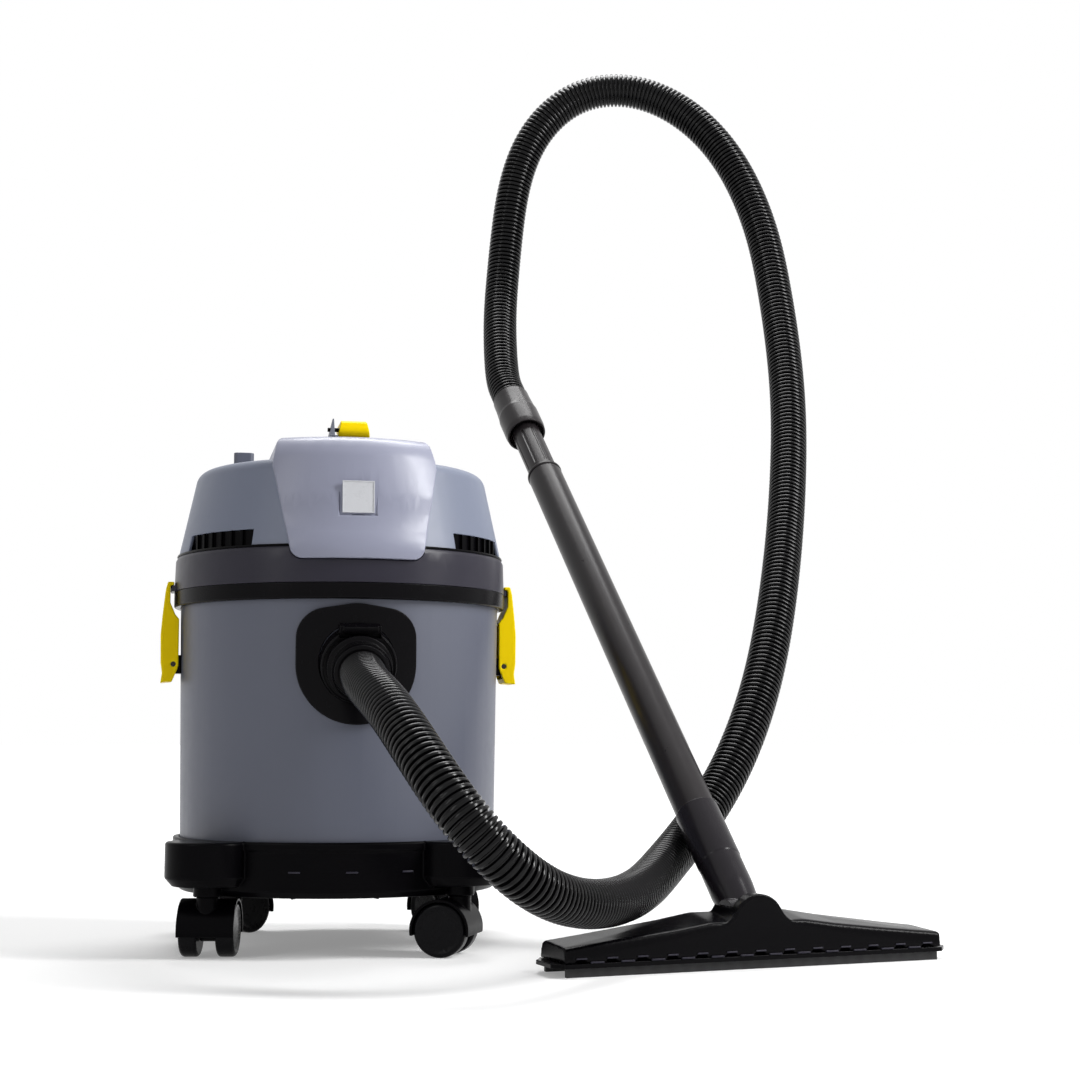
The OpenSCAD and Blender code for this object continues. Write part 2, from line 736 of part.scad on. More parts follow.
// solid that the cover fills, grown by the gap
module cover_keepout() {
    polygon(concat([[0, cover_z - 1], [cover_foot_r + gap, cover_z - 1]],
                   arc(cover_top_r - shoulder_r, crown_z - 20, shoulder_r + gap, shoulder_a, 78, 8),
                   [[70, crown_z - 1.5 + gap], [0, crown_z + gap]]));
}

module badge_plate() {
    color([0.80, 0.81, 0.83])
    translate([-badge_w / 2, badge_y - 0.3, badge_z - badge_w / 2]) cube([badge_w, 1.6, badge_w]);
}

module vent_grilles() {
    h = vent_h - gap;
    r = cover_foot_r - 2 * shell_t;
    color(black)
    for (v = vents) {
        vent_arc(v[0] + 0.3, v[1] - 0.6, r - 3, r, cover_z, h);
        for (k = [1 : grille_bars - 1])
            vent_arc(v[0] + v[1] * k / grille_bars - 0.5, 1, r - 1, cover_foot_r - shell_t - 0.5, cover_z, h);
    }
}

// ---- cable hooks and inlet ------------------------------------------------
hook_x = (cover_top_r - 13.5) * cos(44.4);
hook_y = (cover_top_r - 13.5) * sin(44.4);

module cable_hooks() {
    color(grey) {
        difference() {
            for (s = [-1, 1])
                translate([s * hook_x, hook_y, 0]) {
                    translate([0, 0, crown_z - 22]) linear_extrude(49, convexity = 4)
                        hull() {
                            translate([-6, 0]) circle(r = 4, $fn = 32);
                            translate([6, 0]) circle(r = 4, $fn = 32);
                        }
                    translate([0, 0, crown_z + 16]) linear_extrude(13, convexity = 4)
                        hull() {
                            translate([-6, 0]) circle(r = 4.5, $fn = 32);
                            translate([6, 0]) circle(r = 4.5, $fn = 32);
                            translate([0, 9]) circle(r = 4.5, $fn = 32);
                        }
                }
            rotate_extrude() cover_keepout();
        }
        for (s = [-1, 1])
            translate([s * hook_x, hook_y, crown_z - 16]) cylinder(r = 2, h = 20);
    }
}

module cable_gland() {
    color(black)
    gland_frame() difference() {
        union() {
            translate([0, 0, -12]) cylinder(r = gland_r, h = 16 + gland_pad);
            translate([0, 0, gland_pad + gap]) cylinder(r = gland_r + 4, h = 4);
            translate([0, 0, gland_pad + 4]) cylinder(r = gland_r - 1, h = 8);
        }
        translate([0, 0, -20]) cylinder(r = gland_bore_r, h = 50);
    }
}

// ---- power lever ----------------------------------------------------------
lever_y = 37 - cover_top_r;
lever_pin_z = cowl_z + 8;
lever_w = 29;
lever_pin_r = 2;
ear_x = -24;
ear_t = 5;

module lever_bracket() {
    color(grey)
    difference() {
        union() {
            translate([ear_x + ear_t, lever_y, cowl_z]) rotate([90, 0, -90]) linear_extrude(ear_t)
                polygon([[-13, 0], [-3, 19], [1, 19], [13, 0]]);
            translate([ear_x, lever_y - 13, cowl_z]) cube([8, 26, 1.2]);
        }
        translate([ear_x - 1, lever_y, lever_pin_z]) rotate([0, 90, 0])
            cylinder(r = lever_pin_r, h = ear_t + 2);
    }
}

module lever_pin() {
    color(black)
    translate([ear_x - 1, lever_y, lever_pin_z]) rotate([0, 90, 0])
        cylinder(r = lever_pin_r, h = lever_w - ear_x - lever_w / 2 + 0.5);
}

module power_lever() {
    color(yellow)
    difference() {
        translate([-lever_w / 2, lever_y, lever_pin_z]) rotate([90, 0, 90]) linear_extrude(lever_w)
            polygon(concat(arc(0, 0, 6.5, 150, 285, 9),
                           [[11, -3.5], [31, 2], [33, 5], [31, 8], [2, 9.5], [-4, 7]]));
        translate([-lever_w, lever_y, lever_pin_z]) rotate([0, 90, 0])
            cylinder(r = lever_pin_r + run_fit, h = 2 * lever_w);
    }
}

module switch_body() {
    color([0.12, 0.12, 0.12]) {
        translate([-switch_w / 2, switch_y - switch_len / 2, crown_z - 16])
            cube([switch_w, switch_len, cowl_rise + 16]);
    }
}

// ---- motor ----------------------------------------------------------------
deck_r = ledge_r + 7;
deck_screw_circle_r = ledge_r + 4;
shaft_low_z = fan_z + 4;
fan_r = fan_case_r - 5;

module motor_deck() {
    color(black)
    difference() {
        translate([0, 0, deck_z + 0.2]) cylinder(r = deck_r, h = deck_t);
        translate([0, 0, deck_z - 1]) cylinder(r = 26, h = deck_t + 3);
        for (a = deck_screw_angles)
            rotate([0, 0, a]) translate([deck_screw_circle_r, 0, deck_z - 1]) cylinder(r = 1.8, h = deck_t + 3);
        for (a = head_screw_angles)
            rotate([0, 0, a]) translate([ring_screw_circle_r, 0, deck_z - 1]) cylinder(r = 5.6, h = deck_t + 3);
    }
}

module deck_screws() {
    color(steel)
    for (a = deck_screw_angles)
        rotate([0, 0, a]) translate([deck_screw_circle_r, 0, deck_z - 6]) {
            cylinder(r = 1.5, h = deck_t + 6.4);
            translate([0, 0, deck_t + 6.3]) cylinder(r = 3, h = 2);
        }
}

module fan_housing() {
    color(steel)
    translate([0, 0, fan_z]) difference() {
        rotate_extrude()
            polygon([[30, 0], [fan_case_r - 2, 0], [fan_case_r, 2], [fan_case_r, fan_case_h - 2],
                     [fan_case_r - 2, fan_case_h], [9, fan_case_h], [9, fan_case_h - 1.5],
                     [fan_case_r - 2, fan_case_h - 1.5], [fan_case_r - 2, 1.5], [30, 1.5]]);
        for (a = [0 : 30 : 330])
            rotate([0, 0, a]) translate([fan_case_r - 12, 0, fan_case_h - 3]) cylinder(r = 4, h = 6);
    }
}

module motor_bracket() {
    color(steel) {
        // lower bearing seat on the fan housing and the upper bridge over the field core
        translate([0, 0, fan_z + fan_case_h]) difference() {
            cylinder(r = 16, h = 5.7);
            translate([0, 0, -1]) cylinder(r = 9, h = 8);
        }
        translate([0, 0, stator_z + stator_h]) difference() {
            union() {
                translate([-stator_r - 3.3, -8, 0.2]) cube([2 * stator_r + 6.6, 16, 3]);
                cylinder(r = 14, h = 9);
            }
            translate([0, 0, -1]) cylinder(r = 9, h = 12);
        }
        for (s = [-1, 1])
            translate([s * (stator_r + 1.8) - 1.5, -8, fan_z + fan_case_h + 0.1])
                cube([3, 16, stator_z + stator_h + 3 - fan_z - fan_case_h]);
    }
}

module stator() {
    color([0.35, 0.35, 0.38])
    translate([0, 0, stator_z]) difference() {
        cylinder(r = stator_r, h = stator_h);
        translate([0, 0, -1]) cylinder(r = stator_r - 16, h = stator_h + 2);
    }
}

module bearings() {
    color(steel)
    for (z = [fan_z + fan_case_h + 0.2, stator_z + stator_h + 1.5])
        translate([0, 0, z]) difference() {
            cylinder(r = 9, h = 5);
            translate([0, 0, -1]) cylinder(r = shaft_r + run_fit, h = 8);
        }
}

module motor_shaft() {
    color(steel)
    translate([0, 0, shaft_low_z]) cylinder(r = shaft_r, h = stator_z + stator_h + 12 - shaft_low_z);
}

module armature() {
    color(copper)
    difference() {
        union() {
            translate([0, 0, stator_z + 2]) cylinder(r = stator_r - 17, h = stator_h - 10);
            translate([0, 0, stator_z + stator_h - 8]) cylinder(r = 12, h = 6);
        }
        translate([0, 0, stator_z - 1]) cylinder(r = shaft_r, h = stator_h + 2);
    }
}

module impeller() {
    color([0.75, 0.76, 0.78])
    translate([0, 0, fan_z + 5]) difference() {
        union() {
            cylinder(r = fan_r, h = 1.2);
            translate([0, 0, 16]) cylinder(r = fan_r, h = 1.2);
            cylinder(r = shaft_r + 5, h = 17);
            for (a = [0 : 45 : 315])
                rotate([0, 0, a]) translate([shaft_r + 4, 0, 0.6]) rotate([0, 0, 18])
                    cube([fan_r - shaft_r - 10, 1.2, 16]);
        }
        translate([0, 0, -2]) cylinder(r = shaft_r, h = 22);
        difference() {
            translate([0, 0, -1]) cylinder(r = 27, h = 2.4);
            translate([0, 0, -2]) cylinder(r = shaft_r + 5, h = 5);
        }
    }
}

// ---- float cage and filter ------------------------------------------------
cage_rib = 3;
float_r = 20;
float_rest_z = cage_top_z - cage_h + 4;

module float_cage() {
    color([0.12, 0.12, 0.12])
    difference() {
        union() {
            translate([0, 0, cage_top_z - 4]) cylinder(r = ledge_r - gap, h = 4);
            translate([0, 0, cage_top_z - cage_h]) cylinder(r = cage_r, h = cage_h - 1);
        }
        translate([0, 0, cage_top_z - cage_h + 3]) cylinder(r = cage_r - cage_rib, h = cage_h + 10);
        for (a = [0 : 30 : 330])
            rotate([0, 0, a]) translate([cage_r - 8, -8, cage_top_z - cage_h + 12]) cube([16, 16, cage_h - 30]);
    }
    // seat against which the float closes
    color([0.12, 0.12, 0.12])
    translate([0, 0, float_rest_z + 2 * float_r + float_lift + 1]) difference() {
        cylinder(r = cage_r - cage_rib + 0.1, h = 3);
        translate([0, 0, -1]) cylinder(r = float_r - 4, h = 6);
    }
}

module float_ball() {
    color([0.9, 0.9, 0.88])
    translate([0, 0, float_rest_z - 0.7]) rotate_extrude()
        polygon(concat([[0, 0], [float_r - 6, 0]], arc(float_r - 3, 3, 3, -60, 0, 3),
                       arc(float_r - 6, 2 * float_r - 6, 6, 0, 80, 5), [[0, 2 * float_r]]));
}

module filter_cartridge() {
    n = 40;
    color(paper)
    translate([0, 0, cage_top_z - cage_h + 8]) difference() {
        linear_extrude(cage_h - 12.5, convexity = 6)
            polygon([for (i = [0 : 2 * n - 1])
                let (a = 180 * i / n, r = i % 2 == 0 ? filter_r : filter_r - 11) [r * cos(a), r * sin(a)]]);
        translate([0, 0, -1]) cylinder(r = cage_r + gap, h = cage_h);
    }
}

// ---- wand -----------------------------------------------------------------
tool_x = 340;                 // the tool's hinge, in plan
tool_y = -255;
neck_end = 132;               // distances along the wand's axis from that hinge
wand_from = 104;
wand_to = wand_from + wand_len;
grip_to = wand_to + 112;
cuff_from = wand_to + 76;
hose_end = wand_to + 148;
neck_d = wand_d + 1.5;

module wand_frame() {
    translate([tool_x, tool_y, tool_hinge_z]) rotate([0, 0, wand_turn]) rotate([-wand_lean, 0, 0])
        children();
}

module wand_tube() {
    color(black)
    wand_frame() rotate_extrude()
        polygon([[grip_d / 2 + 0.8, wand_from], [wand_d / 2 - 1.5, wand_from], [wand_d / 2 - 1.5, neck_end],
                 [wand_d / 2, neck_end + 0.5], [wand_d / 2, wand_to - 8], [wand_d / 2 - 0.8, wand_to - 6],
                 [wand_d / 2 - 0.8, wand_to], [grip_d / 2 + gap, wand_to], [grip_d / 2 + gap, wand_to - 40],
                 [grip_d / 2 + 0.8, wand_to - 42]]);
}

module grip_tube() {
    flutes = 8;
    color(black)
    wand_frame() difference() {
        rotate_extrude()
            polygon([[grip_d / 2 - 3, wand_to - 38], [grip_d / 2, wand_to - 38], [grip_d / 2, grip_to - 2],
                     [grip_d / 2 + 1.2, grip_to - 2], [grip_d / 2 + 1.2, grip_to],
                     [grip_d / 2 - 3, grip_to]]);
        for (a = [0 : 360 / flutes : 359])
            rotate([0, 0, a]) translate([grip_d / 2 + 1.2, 0, wand_to + 6])
                cylinder(r = 2.2, h = cuff_from - wand_to - 12, $fn = 24);
    }
}

module hose_cuff() {
    r0 = grip_d / 2 + gap;
    color(black)
    wand_frame() rotate_extrude()
        polygon([[r0, cuff_from + 10], [cuff_d / 2 - 4, cuff_from + 8], [cuff_d / 2 - 3, cuff_from],
                 [cuff_d / 2 - 1, cuff_from], [cuff_d / 2, cuff_from + 8], [cuff_d / 2, cuff_from + 36],
                 [cuff_d / 2 - 1, cuff_from + 42], [hose_d / 2 + 1, cuff_from + 62],
                 [hose_d / 2 + 1, hose_end - run_fit], [hose_bore_d / 2, hose_end - run_fit],
                 [hose_bore_d / 2, grip_to + gap],
                 [r0 + 1.5, grip_to + gap], [r0 + 1.5, grip_to - 4], [r0, grip_to - 6]]);
}

barrel_r = 19;
barrel_w = 40;
tool_pin_r = 4;

module tool_neck() {
    color(black)
    difference() {
        union() {
            wand_frame() rotate_extrude()
                polygon([[wand_d / 2 - 4, 0], [barrel_r - 0.5, 0], [barrel_r - 0.5, 12], [neck_d / 2, 34],
                         [neck_d / 2, 66],
                         [neck_d / 2 + 0.6, 69], [neck_d / 2 + 0.6, neck_end], [wand_d / 2 - 1.4, neck_end],
                         [wand_d / 2 - 1.4, wand_from - 1], [wand_d / 2 - 4, wand_from - 3]]);
            tool_frame() translate([0, 0, tool_hinge_z]) rotate([0, 90, 0])
                cylinder(r = barrel_r, h = barrel_w, center = true);
        }
        tool_frame() translate([0, 0, tool_hinge_z]) rotate([0, 90, 0])
            cylinder(r = tool_pin_r, h = barrel_w + 40, center = true);
        wand_frame() translate([0, 0, -barrel_r - 6]) cylinder(r = wand_d / 2 - 4, h = wand_from);
    }
}

module tool_pin() {
    color(steel)
    tool_frame() translate([0, 0, tool_hinge_z]) rotate([0, 90, 0])
        cylinder(r = tool_pin_r, h = barrel_w + 6, center = true);
}

// ---- floor tool -----------------------------------------------------------
tool_half = tool_len / 2;
arch_front_y = -tool_depth / 2 + 1;
arch_back_y = 20;
strip_h = 8;
sole_t = 4;
tilt_room = 20;               // how far the neck's slot lets the tool tilt each way
neck_room_w = barrel_w + 2 * gap;
tool_shoulder_x = 45;         // from here the shell slopes down to its ends
ridge_r = 4.5;                // rounding of the ridge along the front
fillet_r = 22;                // hollow corners at the foot of the arch
fillet_z = tool_mid_h - 4 + fillet_r;
fillet_x = sqrt(pow(arch_r + fillet_r, 2) - pow(fillet_z - tool_hinge_z, 2));
fillet_a = atan2(fillet_z - tool_hinge_z, fillet_x);

function lean_dir(a) = [sin(a), cos(a)];
function lean_side(a) = [-cos(a), sin(a)];

module tool_frame() {
    translate([tool_x, tool_y, 0]) rotate([0, 0, wand_turn]) children();
}

// side view of the shell at its middle, y to the back and z up
module tool_side(h, rise = 4) {
    polygon(concat([[-tool_depth / 2, strip_h + sole_t]],
                   arc(-tool_depth / 2 + ridge_r + 1, h - ridge_r - 1.5, ridge_r, 175, 98, 6),
                   [[tool_depth / 2 - 10, h + rise], [tool_depth / 2 - 3, h + rise - 3],
                    [tool_depth / 2, strip_h + sole_t]]));
}

module tool_shell() {
    hz = tool_hinge_z;
    color(black)
    tool_frame() difference() {
        union() {
            for (s = [-1, 1]) hull() {
                translate([s * tool_half - 0.5, 0, 0]) rotate([90, 0, 90]) linear_extrude(1) tool_side(tool_end_h, 1);
                translate([s * tool_shoulder_x - 0.5, 0, 0]) rotate([90, 0, 90]) linear_extrude(1) tool_side(tool_mid_h);
            }
            translate([-tool_shoulder_x, 0, 0]) rotate([90, 0, 90]) linear_extrude(2 * tool_shoulder_x)
                tool_side(tool_mid_h);
            // arch over the hinge
            rotate([90, 0, 0]) translate([0, 0, -arch_back_y]) linear_extrude(arch_back_y - arch_front_y)
                polygon(concat([[fillet_x, strip_h + sole_t]],
                               arc(fillet_x, fillet_z, fillet_r, 270, 180 + fillet_a, 8),
                               arc(0, hz, arch_r, fillet_a, 180 - fillet_a, 16),
                               arc(-fillet_x, fillet_z, fillet_r, 360 - fillet_a, 270, 8),
                               [[-fillet_x, strip_h + sole_t]]));
        }
        // room for the neck's barrel and for the neck as the tool tilts
        translate([0, 0, hz]) rotate([0, 90, 0])
            cylinder(r = barrel_r + 0.6, h = barrel_w + 2 * gap, center = true);
        translate([-neck_room_w / 2, 0, hz]) rotate([90, 0, 90]) linear_extrude(neck_room_w)
            neck_room();
        // suction chamber
        translate([-tool_half + 6, -14, strip_h]) cube([tool_len - 12, 24, 11]);
        translate([-16, -14, strip_h]) cube([32, 24, 20]);
        // notches along the front skirt
        for (i = [0 : skirt_notches - 1])
            translate([(i - (skirt_notches - 1) / 2) * tool_len / skirt_notches - 5, -tool_depth / 2 - 2,
                       strip_h + sole_t - 1]) cube([10, 4.5, 4]);
        // bore of the hinge pin
        translate([0, 0, hz]) rotate([0, 90, 0])
            cylinder(r = tool_pin_r + run_fit, h = barrel_w + 7, center = true);
    }
}

// side view of the space the neck sweeps, from the hinge axis outwards
module neck_room() {
    a = wand_lean - tilt_room;
    b = wand_lean + tilt_room;
    near = barrel_r + 0.6;
    far = neck_d / 2 + 0.9;
    polygon([[0, 0], lean_side(a) * near, lean_side(a) * far + lean_dir(a) * 30,
             lean_side(a) * far + lean_dir(a) * 80, lean_dir(wand_lean) * 110,
             lean_dir(b) * 80 - lean_side(b) * far, lean_dir(b) * 30 - lean_side(b) * far,
             -lean_side(b) * near]);
}

module tool_sole() {
    color(black)
    tool_frame() difference() {
        union() {
            translate([-tool_half - 1, -tool_depth / 2 - 1, strip_h - 0.2]) cube([tool_len + 2, tool_depth + 2, sole_t]);
            for (s = [-1, 1])
                translate([0, 0, strip_h - 0.2]) linear_extrude(sole_t)
                    polygon([[s * tool_half, -tool_depth / 2 - 1], [s * (tool_half + 10), -tool_depth / 2 + 10],
                             [s * (tool_half + 10), tool_depth / 2 - 14], [s * tool_half, tool_depth / 2]]);
        }
        translate([-tool_half + 6, -14, 0]) cube([tool_len - 12, 24, 30]);
    }
}

module tool_strips() {
    color([0.08, 0.08, 0.08])
    tool_frame() for (y = [-tool_depth / 2 + 3, tool_depth / 2 - 8])
        translate([-tool_half + 2, y, 0]) cube([tool_len - 4, 5, strip_h - 0.2 - gap]);
}

// ---- hose -----------------------------------------------------------------
// Route of the hose's centre: it leaves the connector straight, swings out in front of the
// drum, passes low behind the wand, rises in a tall arch and comes down into the cuff.
hose_mid = [[10, -320, 228], [28, -378, 188], [58, -420, 135], [110, -412, 85], [160, -360, 65],
            [208, -298, 60], [252, -232, 66], [290, -165, 83], [335, -108, 112], [380, -70, 158],
            [415, -38, 210], [445, -2, 265], [470, 35, 325], [492, 75, 382], [512, 115, 440],
            [530, 155, 500], [545, 192, 562], [556, 228, 625], [562, 262, 690], [564, 294, 758],
            [562, 322, 826], [550, 350, 894], [526, 376, 958], [484, 402, 1014], [420, 425, 1050],
            [345, 444, 1044], [290, 455, 990], [265, 455, 920], [255, 448, 850], [247, 436, 786],
            [239, 415, 725]];
port_dir = [0, -cos(port_tilt), -sin(port_tilt)];
wand_dir = [-sin(wand_turn) * sin(wand_lean), cos(wand_turn) * sin(wand_lean), cos(wand_lean)];
port_at = [0, port_y, port_z];
hinge_at = [tool_x, tool_y, tool_hinge_z];
hose_route = concat([for (k = [0, 0.5, 1.1]) port_at + port_dir * (connector_len + k * hose_d)],
                    hose_mid,
                    [for (k = [1.1, 0.5, 0]) hinge_at + wand_dir * (hose_end + k * hose_d)]);

route_last = len(hose_route) - 1;
// the route's points, with one more point mirrored past each end
function route_pt(i) = i < 0 ? 2 * hose_route[0] - hose_route[1]
    : i > route_last ? 2 * hose_route[route_last] - hose_route[route_last - 1] : hose_route[i];
// a smooth cubic curve guided by four points at a time, and its direction
function curve(u) = let (i = min(floor(u), route_last - 1), t = u - i)
    (pow(1 - t, 3) * route_pt(i - 1) + (3 * pow(t, 3) - 6 * t * t + 4) * route_pt(i)
     + (-3 * pow(t, 3) + 3 * t * t + 3 * t + 1) * route_pt(i + 1) + pow(t, 3) * route_pt(i + 2)) / 6;
function heading(u) = let (i = min(floor(u), route_last - 1), t = u - i,
    d = -pow(1 - t, 2) * route_pt(i - 1) + (3 * t * t - 4 * t) * route_pt(i)
        + (-3 * t * t + 2 * t + 1) * route_pt(i + 1) + t * t * route_pt(i + 2)) d / norm(d);

hose_sides = 8;
hose_rings = 2 * hose_ribs;
bore_rings = 90;
rib_depth = 1.8;

// side vectors carried along the curve so that the tube does not twist
function carry(v, d) = let (w = v - d * (v * d)) w / norm(w);

function frames(n) = [for (k = 0, v = carry([1, 0, 0], heading(0)); k <= n;
    k = k + 1, v = k <= n ? carry(v, heading(route_last * k / n)) : v) v];

function ring(k, n, r, v) = let (u = route_last * k / n, c = curve(u), d = heading(u), w = cross(d, v))
    [for (j = [0 : hose_sides - 1]) let (a = 360 * j / hose_sides) c + r * (cos(a) * v + sin(a) * w)];

function rib_r(k) = k % 2 == 0 ? hose_d / 2 - rib_depth : hose_d / 2;

module hose() {
    so = frames(hose_rings);
    si = frames(bore_rings);
    outer = [for (k = [0 : hose_rings]) each ring(k, hose_rings, rib_r(k), so[k])];
    inner = [for (k = [0 : bore_rings]) each ring(k, bore_rings, hose_bore_d / 2, si[k])];
    m = hose_sides;
    o = len(outer);
    function nx(j) = (j + 1) % m;
    walls = [for (k = [0 : hose_rings - 1], j = [0 : m - 1]) each
                [[k * m + j, (k + 1) * m + j, (k + 1) * m + nx(j)], [k * m + j, (k + 1) * m + nx(j), k * m + nx(j)]]];
    bores = [for (k = [0 : bore_rings - 1], j = [0 : m - 1]) each
                [[o + k * m + j, o + (k + 1) * m + nx(j), o + (k + 1) * m + j],
                 [o + k * m + j, o + k * m + nx(j), o + (k + 1) * m + nx(j)]]];
    eo = hose_rings * m;
    ei = o + bore_rings * m;
    ends = [for (j = [0 : m - 1]) each
                [[j, nx(j), o + nx(j)], [j, o + nx(j), o + j],
                 [eo + j, ei + nx(j), eo + nx(j)], [eo + j, ei + j, ei + nx(j)]]];
    color(hose_black)
    polyhedron(points = concat(outer, inner), faces = concat(walls, bores, ends), convexity = 10);
}

// least gap of the hose to itself, measured between points of its centre line that lie
// more than three diameters apart along it
probe = [for (k = [0 : 200]) curve(route_last * k / 200)];
step_len = [for (k = [1 : 200]) norm(probe[k] - probe[k - 1])];
function total(v, i = 0) = i < len(v) ? v[i] + total(v, i + 1) : 0;
hose_len = total(step_len);
apart = ceil(3 * hose_d / (hose_len / 200));
self_gap = min([for (i = [0 : 200 - apart], j = [i + apart : 200]) norm(probe[i] - probe[j])]) - hose_d;
echo(hose_length = hose_len, hose_self_gap = self_gap);

// ---- what is drawn --------------------------------------------------------
tank();
tank_band();
dolly();
dolly_screws();
inlet_plate();
inlet_port();
inlet_screws();
inlet_deflector();
hose_connector();
release_key();
latch_brackets();
latch_pins();
latch_left();
latch_right();
head_ring();
head_cover();
front_cowl();
badge_plate();
vent_grilles();
cable_hooks();
cable_gland();
head_screws();
tank_seal();
lever_bracket();
lever_pin();
power_lever();
switch_body();
motor_deck();
deck_screws();
fan_housing();
motor_bracket();
stator();
bearings();
motor_shaft();
armature();
impeller();
float_cage();
float_ball();
filter_cartridge();
caster_hood(0);  // caster_hood_fl
caster_pins(0);  // caster_pins_fl
caster_wheels(0);  // caster_wheels_fl
caster_hood(1);  // caster_hood_fr
caster_pins(1);  // caster_pins_fr
caster_wheels(1);  // caster_wheels_fr
caster_hood(2);  // caster_hood_br
caster_pins(2);  // caster_pins_br
caster_wheels(2);  // caster_wheels_br
caster_hood(3);  // caster_hood_bl
caster_pins(3);  // caster_pins_bl
caster_wheels(3);  // caster_wheels_bl
hose();
hose_cuff();
grip_tube();
wand_tube();
tool_neck();
tool_pin();
tool_shell();
tool_sole();
tool_strips();
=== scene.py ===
"""Looks of a wet and dry drum vacuum: drum, dolly, latched head, ribbed hose, wand and floor tool.

Every piece is in metres in the row frame: the drum's axis is Z, the floor is z = 0 and the
drum's front faces -Y.
"""

import functools
import json
import logging
import math
from dataclasses import dataclass, field
from enum import Enum
from typing import Callable, Sequence, Union

import bmesh
import bpy
from mathutils import Matrix, Vector


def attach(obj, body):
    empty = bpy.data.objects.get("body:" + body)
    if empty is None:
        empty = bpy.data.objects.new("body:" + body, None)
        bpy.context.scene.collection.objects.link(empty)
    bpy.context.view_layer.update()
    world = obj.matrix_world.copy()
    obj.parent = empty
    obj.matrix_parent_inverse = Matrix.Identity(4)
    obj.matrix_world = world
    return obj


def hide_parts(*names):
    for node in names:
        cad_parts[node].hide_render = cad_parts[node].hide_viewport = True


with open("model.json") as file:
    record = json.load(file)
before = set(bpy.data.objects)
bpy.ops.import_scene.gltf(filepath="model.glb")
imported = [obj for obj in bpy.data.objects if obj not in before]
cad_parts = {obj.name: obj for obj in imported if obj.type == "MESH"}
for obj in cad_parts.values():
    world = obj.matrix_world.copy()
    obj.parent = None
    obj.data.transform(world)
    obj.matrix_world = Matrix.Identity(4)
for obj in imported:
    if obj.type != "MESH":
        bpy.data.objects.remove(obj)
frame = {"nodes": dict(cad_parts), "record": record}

LOG = logging.getLogger("vacuum")
MM = 0.001
WEAR = "wear"
MERGE = 0.03  # vertices of a CAD copy this close are one, in millimetres
SPUN_MERGE = 0.002  # the same at the seam of a spun shape
TUBE_MERGE = 0.01  # the same at the seam of a tube
FLAT = 0.5  # faces that turn less than this are one, in degrees
SMOOTH = 180  # the angle at which no edge stays sharp, in degrees
BAND = 0.31  # a wave texture's scale times the distance of its bands
BEND_GAIN = 7  # how fast a bend of the skin, in radians, counts as a worn edge
MIX_AMOUNT, MIX_A, MIX_B, MIX_RESULT = 0, 6, 7, 2  # a Mix node's sockets for colours
Colour = tuple[float, float, float]
Number = Union[float, "Value"]
Profile = Sequence[tuple[float, float]]


# ---- shaders ----


class Value:
    """A shader socket that adds Math nodes when it is used in an expression."""

    def __init__(self, canvas: "Canvas", socket: bpy.types.NodeSocket) -> None:
        """Wraps a socket.

        Args:
            canvas: the material that the socket belongs to.
            socket: the output to build on.
        """
        self.canvas = canvas
        self.socket = socket

    def _math(self, operation: str, first: Number, second: Number) -> "Value":
        """Adds one Math node.

        Args:
            operation: Blender's name for the operation.
            first: the left operand.
            second: the right operand.

        Returns:
            The node's result.
        """
        return self.canvas.add("ShaderNodeMath", {"operation": operation}, {0: first, 1: second})

    def __add__(self, other: Number) -> "Value":
        """Sum."""
        return self._math("ADD", self, other)

    __radd__ = __add__

    def __mul__(self, other: Number) -> "Value":
        """Product."""
        return self._math("MULTIPLY", self, other)

    def __rsub__(self, other: Number) -> "Value":
        """Difference from a plain number."""
        return self._math("SUBTRACT", other, self)

    def __pow__(self, other: Number) -> "Value":
        """Power."""
        return self._math("POWER", self, other)


